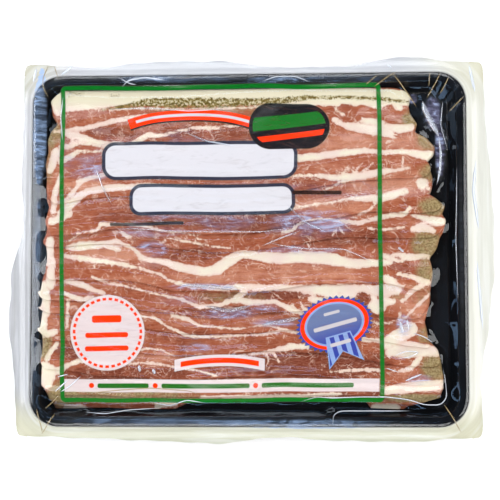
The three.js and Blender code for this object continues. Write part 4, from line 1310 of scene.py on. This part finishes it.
def print_layers(g, x, y):
    """The plain print as layers of mask, colour and cover.

    Frame line, blank bars, arched band, striped oval, disc, small arched band, strip and rosette.
    """
    c = bpy.context.scene.pack_colours
    green, white, navy, orange = c.green[:], c.white[:], c.navy[:], c.orange[:]
    black = srgb(10, 14, 18)
    pale = srgb(206, 196, 198)
    layers = []

    frame_line = box_distance(x + y * FRAME_LEAN, y, *FRAME_BOX)
    layers.append((ink(abs(frame_line) - FRAME_HALF), green, 0.95))

    for box in BLANK_BARS:
        bar = box_distance(x, y, *box)
        layers.append((ink(bar - BAR_OUTLINE), navy, 0.88))
        layers.append((ink(bar), white, 0.9))
    layers.extend((ink(box_distance(x, y, *box)), black, 0.85) for box in THIN_BARS)

    arch = distance_from(x, y, ARCH_MIDDLE)
    aside = (x - ARCH_MIDDLE[0]) * ARCH_TURN[0] - (y - ARCH_MIDDLE[1]) * ARCH_TURN[1]
    span = abs(aside) - arch * ARCH_SPAN
    layers.append((ink((abs(arch - (ARCH_RADIUS - 0.6)) - 3.4).most(span)), black, 0.9))
    layers.append((ink((abs(arch - ARCH_RADIUS) - 3.0).most(span)), orange, 0.96))
    layers.append((ink((abs(arch - ARCH_RADIUS) - 0.8).most(span + 4.0)), white, 0.8))

    oval = box_distance(x, y, *OVAL)
    layers.append((ink(oval), black, 0.95))
    layers.append((ink(abs(y - 71.1 - x * OVAL_LEAN) - 4.0) * ink(oval + 2.2), green, 0.95))
    layers.append((ink(abs(y - 62.1 - x * OVAL_LEAN) - 1.6) * ink(oval + 2.8), orange, 0.95))

    disc = distance_from(x, y, DISC_MIDDLE)
    dashes = (g.angle(y - DISC_MIDDLE[1], x - DISC_MIDDLE[0]) * DISC_DASHES).sine().step(-0.75, 0.0)
    layers.append((ink(disc - DISC_RADIUS), pale, 0.7))
    layers.append((ink(abs(disc - (DISC_RADIUS - 2.3)) - 0.8) * dashes, orange, 0.95))
    layers.extend((ink(box_distance(x, y, *box)), orange, 0.9) for box in DISC_BARS)

    small_arch = distance_from(x, y, SMALL_ARCH_MIDDLE) - SMALL_ARCH_RADIUS
    small_span = abs(x - SMALL_ARCH_MIDDLE[0]) - SMALL_ARCH_HALF
    layers.append((ink((abs(small_arch) - 3.3).most(small_span)), pale, 0.72))
    layers.append((ink((abs(small_arch) - 1.5).most(small_span + 3.5)), orange, 0.9))

    layers.append((ink(box_distance(x, y, *STRIP)), pale, 0.72))
    layers.extend((ink(distance_from(x, y, dot) - 1.5), orange, 0.95) for dot in STRIP_DOTS)
    layers.extend((ink(box_distance(x, y, *box)), green, 0.9) for box in STRIP_BARS)
    layers.extend(rosette_layers(g, x, y, white, orange, c.blue[:]))
    return layers


def rosette_layers(g, x, y, white, orange, blue):
    """A ribbon rosette turned a little left: toothed rim, orange ring, plain plate and a forked tail."""
    dx, dy = x - ROSETTE_MIDDLE[0], y - ROSETTE_MIDDLE[1]
    ex = dx * math.cos(ROSETTE_LEAN) + dy * math.sin(ROSETTE_LEAN)
    ey = dy * math.cos(ROSETTE_LEAN) - dx * math.sin(ROSETTE_LEAN)
    across, up = ex / ROSETTE_HALF[0], ey / ROSETTE_HALF[1]
    ring = (across * across + up * up) ** 0.5
    turns = g.angle(up, across) * (ROSETTE_TEETH / (2 * math.pi))
    teeth = abs(turns.maths("WRAP", 0.0, 1.0) - 0.5)
    pale = srgb(118, 142, 186)
    out = [(ink((ring - 1.02 - teeth * 0.24) * 16.0), blue, 0.92)]
    out.append((ink((ring - 1.0) * 16.0), orange, 0.92))
    out.append((ink((ring - 0.87) * 16.0), pale, 0.88))
    out.append((ink((ring - 0.80) * 16.0), g.mixed((ey + 4.0).step(-8.0, 9.0), blue, srgb(88, 104, 140)), 0.9))
    tail_x = ex - 0.4
    sides = abs(tail_x) - (6.2 - ey * 0.165)
    fork = -ey - 16.2 - abs(tail_x) * 0.8
    tail = sides.most(fork).most(ey + 6.0)
    out.append((ink(tail), pale, 0.9))
    out.append((ink(tail + 0.7) * (tail_x * 1.2).sine().step(-0.2, 0.2), blue, 0.9))
    out.extend((ink(box_distance(ex, ey, *box)), white, 0.7) for box in ROSETTE_BARS)
    return out


def film_haze(g, x, y, streaks):
    """Cover and colour of the haze: milky along the weld, tinted by side, and a painted bluish sheen standing in for
    reflections where the sheen lies.
    """
    rim = box_distance(x, y, (0.0, 0.0), (HALF_LENGTH, HALF_WIDTH), TRAY_CORNER)
    beside = g.joined(rim * 0.3, (x + y) * 0.02, 0.0)
    cloud = g.noise(beside, 1.0, 3.0, 0.5, 0.4)
    haze = rim.step(-0.4, 0.6) * (0.45 + 0.35 * cloud)
    corner = (abs(x) * 0.9 + abs(y)).step(196.0, 222.0)
    sheen = g.attribute("sheen")
    # Painted sheen: bluish reflections of the lights painted onto the film where the sheen field lies, bluer on the
    # rim
    painted_sheen = sheen.step(0.0, 0.9) * streaks.step(0.36, 0.7) * 0.42 + sheen * 0.06
    painted_sheen_colour = g.covered(srgb(146, 144, 180), (
        (streaks.step(0.5, 0.68), srgb(178, 194, 230)),
        (rim.step(-12.0, -8.0), srgb(150, 176, 214)),
    ))
    colour = g.covered(srgb(188, 191, 197), (
        ((-x).step(80.0, 130.0), srgb(168, 169, 172)),
        (x.step(80.0, 130.0), srgb(212, 213, 204)),
        ((-y).step(85.0, 105.0), srgb(190, 192, 172)),
        (corner * 0.7, srgb(190, 187, 158)),
        (cloud.step(0.45, 0.7) * 0.3, srgb(214, 217, 224)),
        (painted_sheen.step(0.01, 0.05), painted_sheen_colour),
    ))
    return haze.most(painted_sheen), colour


def film_material(name, printed):
    """Clear packing film: what is behind it, a gloss that follows its folds, haze, a painted sheen, folds with
    painted highlights, and print.

    Its inner side is only clear.
    """
    g = Graph(name)
    spot = g.millimetres()
    x, y, _ = g.parts(spot)
    crinkle = g.noise(g.stretched(spot, 0.35, 0.8, 0.5), 0.25, 3.0, 0.5, 0.8)
    normal = g.bump(crinkle, 0.05 * MM)
    clear = g.node("ShaderNodeBsdfTransparent", {}, {"Color": (0.997, 0.996, 0.993, 1.0)}).outputs[0]
    shine = {"Color": (0.93, 0.96, 1.0, 1.0), "Roughness": 0.05, "Normal": normal}
    gloss = g.node("ShaderNodeBsdfGlossy", {}, shine).outputs[0]
    fresnel = Value(g, g.node("ShaderNodeFresnel", {}, {"IOR": 1.52, "Normal": normal}).outputs[0])
    film = g.blended((fresnel * GLOSS_SHARE).least(MOST_GLOSS), clear, gloss)

    streaks = g.noise(g.stretched(spot, 0.12, 0.5, 0.1), 0.5, 3.0, 0.6, 1.5)
    total, colour = film_haze(g, x, y, streaks)
    if printed:
        wave_x = (g.noise(spot, 0.03, 0.0) - 0.5) * PRINT_WAVE
        wave_y = (g.noise(g.stretched(spot, -1.0, 1.0, 1.0), 0.03, 0.0) - 0.5) * PRINT_WAVE
        print_colour, cover = layered(g, print_layers(g, x + wave_x, y + wave_y))
        cover = cover * (1 - 0.12 * g.noise(spot, 2.2, 3.0).step(0.55, 0.8) - 0.16 * streaks.step(0.5, 0.75))
        fold = g.attribute("fold")
        total = cover.most(total).most(abs(fold) * FOLD_COVER)
        colour = g.covered(colour, (
            (cover.step(0.05, 0.4), print_colour),
            # Pale folds carry a painted highlight; tan folds carry the crease's own colour
            (fold.step(0.1, 0.6), srgb(214, 222, 236)),
            ((-fold).step(0.1, 0.6), srgb(166, 146, 104)),
        ))
    body = g.principled({"Base Color": colour, "Roughness": 0.12, "Specular IOR Level": 0.25, "Normal": normal})
    return g.finish(g.blended(g.attribute("upper"), clear, g.blended(total, film, body)))


def floor_material():
    """Matt near-white board with a faint tooth."""
    g = Graph("pale_board")
    tooth = g.noise(g.millimetres(), 0.4, 2.0)
    shader = g.principled({
        "Base Color": g.mixed(tooth, (0.86, 0.86, 0.86), (0.9, 0.9, 0.9)),
        "Roughness": 0.9,
        "Specular IOR Level": 0.1,
    })
    return g.finish(shader)


def pack_sizes():
    """The sizes that a user may change."""
    return bpy.context.scene.pack_sizes


def add_light(name, spot, wide, deep, power, colour):
    """A rectangular light that faces the middle of the floor."""
    data = bpy.data.lights.new(name, "AREA")
    data.shape = "RECTANGLE"
    data.size = wide
    data.size_y = deep
    data.energy = power
    data.color = colour
    lamp = bpy.data.objects.new(name, data)
    lamp.location = spot
    lamp.rotation_euler = (-Vector(spot)).to_track_quat("-Z", "Y").to_euler()
    bpy.context.scene.collection.objects.link(lamp)


class PackSizes(bpy.types.PropertyGroup):
    """Sizes of the pack that a user may change."""

    rasher_thickness: bpy.props.FloatProperty(
        name="Rasher thickness", description="Thickness of one slice of bacon",
        default=3.15 * MM, unit="LENGTH", subtype="DISTANCE",
    )
    film_thickness: bpy.props.FloatProperty(
        name="Film thickness", description="Thickness of each film of the bag",
        default=0.12 * MM, unit="LENGTH", subtype="DISTANCE",
    )
    film_gap: bpy.props.FloatProperty(
        name="Film gap", description="Air between the upper film and what it lies on",
        default=0.25 * MM, unit="LENGTH", subtype="DISTANCE",
    )


def colour_property(name, description, colour):
    """A colour setting whose default is an 8-bit display colour."""
    return bpy.props.FloatVectorProperty(
        name=name, description=description, default=srgb(*colour), size=3, min=0, max=1, subtype="COLOR",
    )


class PackColours(bpy.types.PropertyGroup):
    """Colours of the meat and of the print."""

    lean: colour_property("Lean", "Cured lean meat", (170, 86, 52))
    lean_dark: colour_property("Dark lean", "Lean meat where it is darkest", (122, 50, 25))
    lean_pink: colour_property("Pink lean", "Lean meat where it is lightest", (212, 144, 114))
    fat: colour_property("Fat", "Cream fat", (247, 236, 214))
    fat_pink: colour_property("Pink fat", "Fat where it is pinkish", (243, 220, 208))
    green: colour_property("Green ink", "Frame line, oval stripe and bars", (8, 92, 26))
    white: colour_property("White ink", "Blank bars and the arched band's line", (186, 186, 192))
    navy: colour_property("Navy ink", "Outlines", (28, 42, 60))
    orange: colour_property("Orange ink", "Arched band, dashes and dots", (226, 46, 0))
    blue: colour_property("Blue ink", "Rosette", (42, 60, 138))


class PACK_OT_tray(bpy.types.Operator):
    """Build the black tray"""

    bl_idname = "pack.tray"
    bl_label = "Build tray"

    def execute(self, context):
        piece = build_tray()
        piece.data.materials.append(tray_material())
        return {"FINISHED"}


class PACK_OT_rashers(bpy.types.Operator):
    """Build every rasher of bacon"""

    bl_idname = "pack.rashers"
    bl_label = "Build rashers"

    def execute(self, context):
        material = bacon_material()
        for number in range(1, RASHER_COUNT + 1):
            build_rasher(number).data.materials.append(material)
        return {"FINISHED"}


class PACK_OT_bag(bpy.types.Operator):
    """Build the printed upper film and the lower film of the bag"""

    bl_idname = "pack.bag"
    bl_label = "Build bag"

    def execute(self, context):
        build_upper_film().data.materials.append(film_material("printed_film", True))
        build_lower_film().data.materials.append(film_material("plain_film", False))
        return {"FINISHED"}


class PACK_OT_stage(bpy.types.Operator):
    """Build the floor, the lights and the camera"""

    bl_idname = "pack.stage"
    bl_label = "Build stage"

    def execute(self, context):
        scene = context.scene
        mesh = bpy.data.meshes.new("floor")
        corners = [(x * FLOOR_REACH, y * FLOOR_REACH, 0) for x, y in ((-1, -1), (1, -1), (1, 1), (-1, 1))]
        mesh.from_pydata(corners, [], [(0, 1, 2, 3)])
        mesh.materials.append(floor_material())
        floor = bpy.data.objects.new("floor", mesh)
        scene.collection.objects.link(floor)

        world = bpy.data.worlds.new("studio")
        world.use_nodes = True
        sky = world.node_tree.nodes["Background"].inputs
        sky["Color"].default_value = (0.93, 0.95, 1.0, 1.0)
        sky["Strength"].default_value = WORLD_STRENGTH
        scene.world = world
        for light in LIGHTS:
            add_light(*light)
        scene.view_settings.view_transform = "Standard"
        scene.view_settings.look = "None"

        target = CAMERA_TARGET * MM + Vector((*TRAY_MIDDLE, 0))
        camera_data = bpy.data.cameras.new("camera")
        camera_data.lens = LENS
        camera_data.sensor_width = SENSOR
        camera = bpy.data.objects.new("camera", camera_data)
        turned = Matrix((CAMERA_RIGHT, CAMERA_UP, CAMERA_BACK)).transposed().to_4x4()
        camera.matrix_world = Matrix.Translation(target + CAMERA_BACK * CAMERA_DISTANCE * MM) @ turned
        scene.collection.objects.link(camera)
        scene.camera = camera
        return {"FINISHED"}


class PACK_PT_panel(bpy.types.Panel):
    """Sidebar panel of the bacon pack"""

    bl_label = "Bacon pack"
    bl_idname = "PACK_PT_panel"
    bl_space_type = "VIEW_3D"
    bl_region_type = "UI"
    bl_category = "Bacon pack"

    def draw(self, context):
        for group in (context.scene.pack_sizes, context.scene.pack_colours):
            for name in group.bl_rna.properties.keys():
                if name not in ("rna_type", "name"):
                    self.layout.prop(group, name)
        for operator in OPERATORS:
            self.layout.operator(operator.bl_idname)


OPERATORS = (PACK_OT_tray, PACK_OT_rashers, PACK_OT_bag, PACK_OT_stage)
CLASSES = (PackSizes, PackColours, *OPERATORS, PACK_PT_panel)


def register():
    """Adds the settings, the operators and the panel."""
    for cls in CLASSES:
        bpy.utils.register_class(cls)
    bpy.types.Scene.pack_sizes = bpy.props.PointerProperty(type=PackSizes)
    bpy.types.Scene.pack_colours = bpy.props.PointerProperty(type=PackColours)


def unregister():
    """Takes the settings, the operators and the panel away."""
    del bpy.types.Scene.pack_colours
    del bpy.types.Scene.pack_sizes
    for cls in reversed(CLASSES):
        bpy.utils.unregister_class(cls)


def main():
    """Builds the whole scene."""
    register()
    bpy.ops.pack.tray()
    bpy.ops.pack.rashers()
    bpy.ops.pack.bag()
    bpy.ops.pack.stage()


if __name__ == "__main__":
    main()
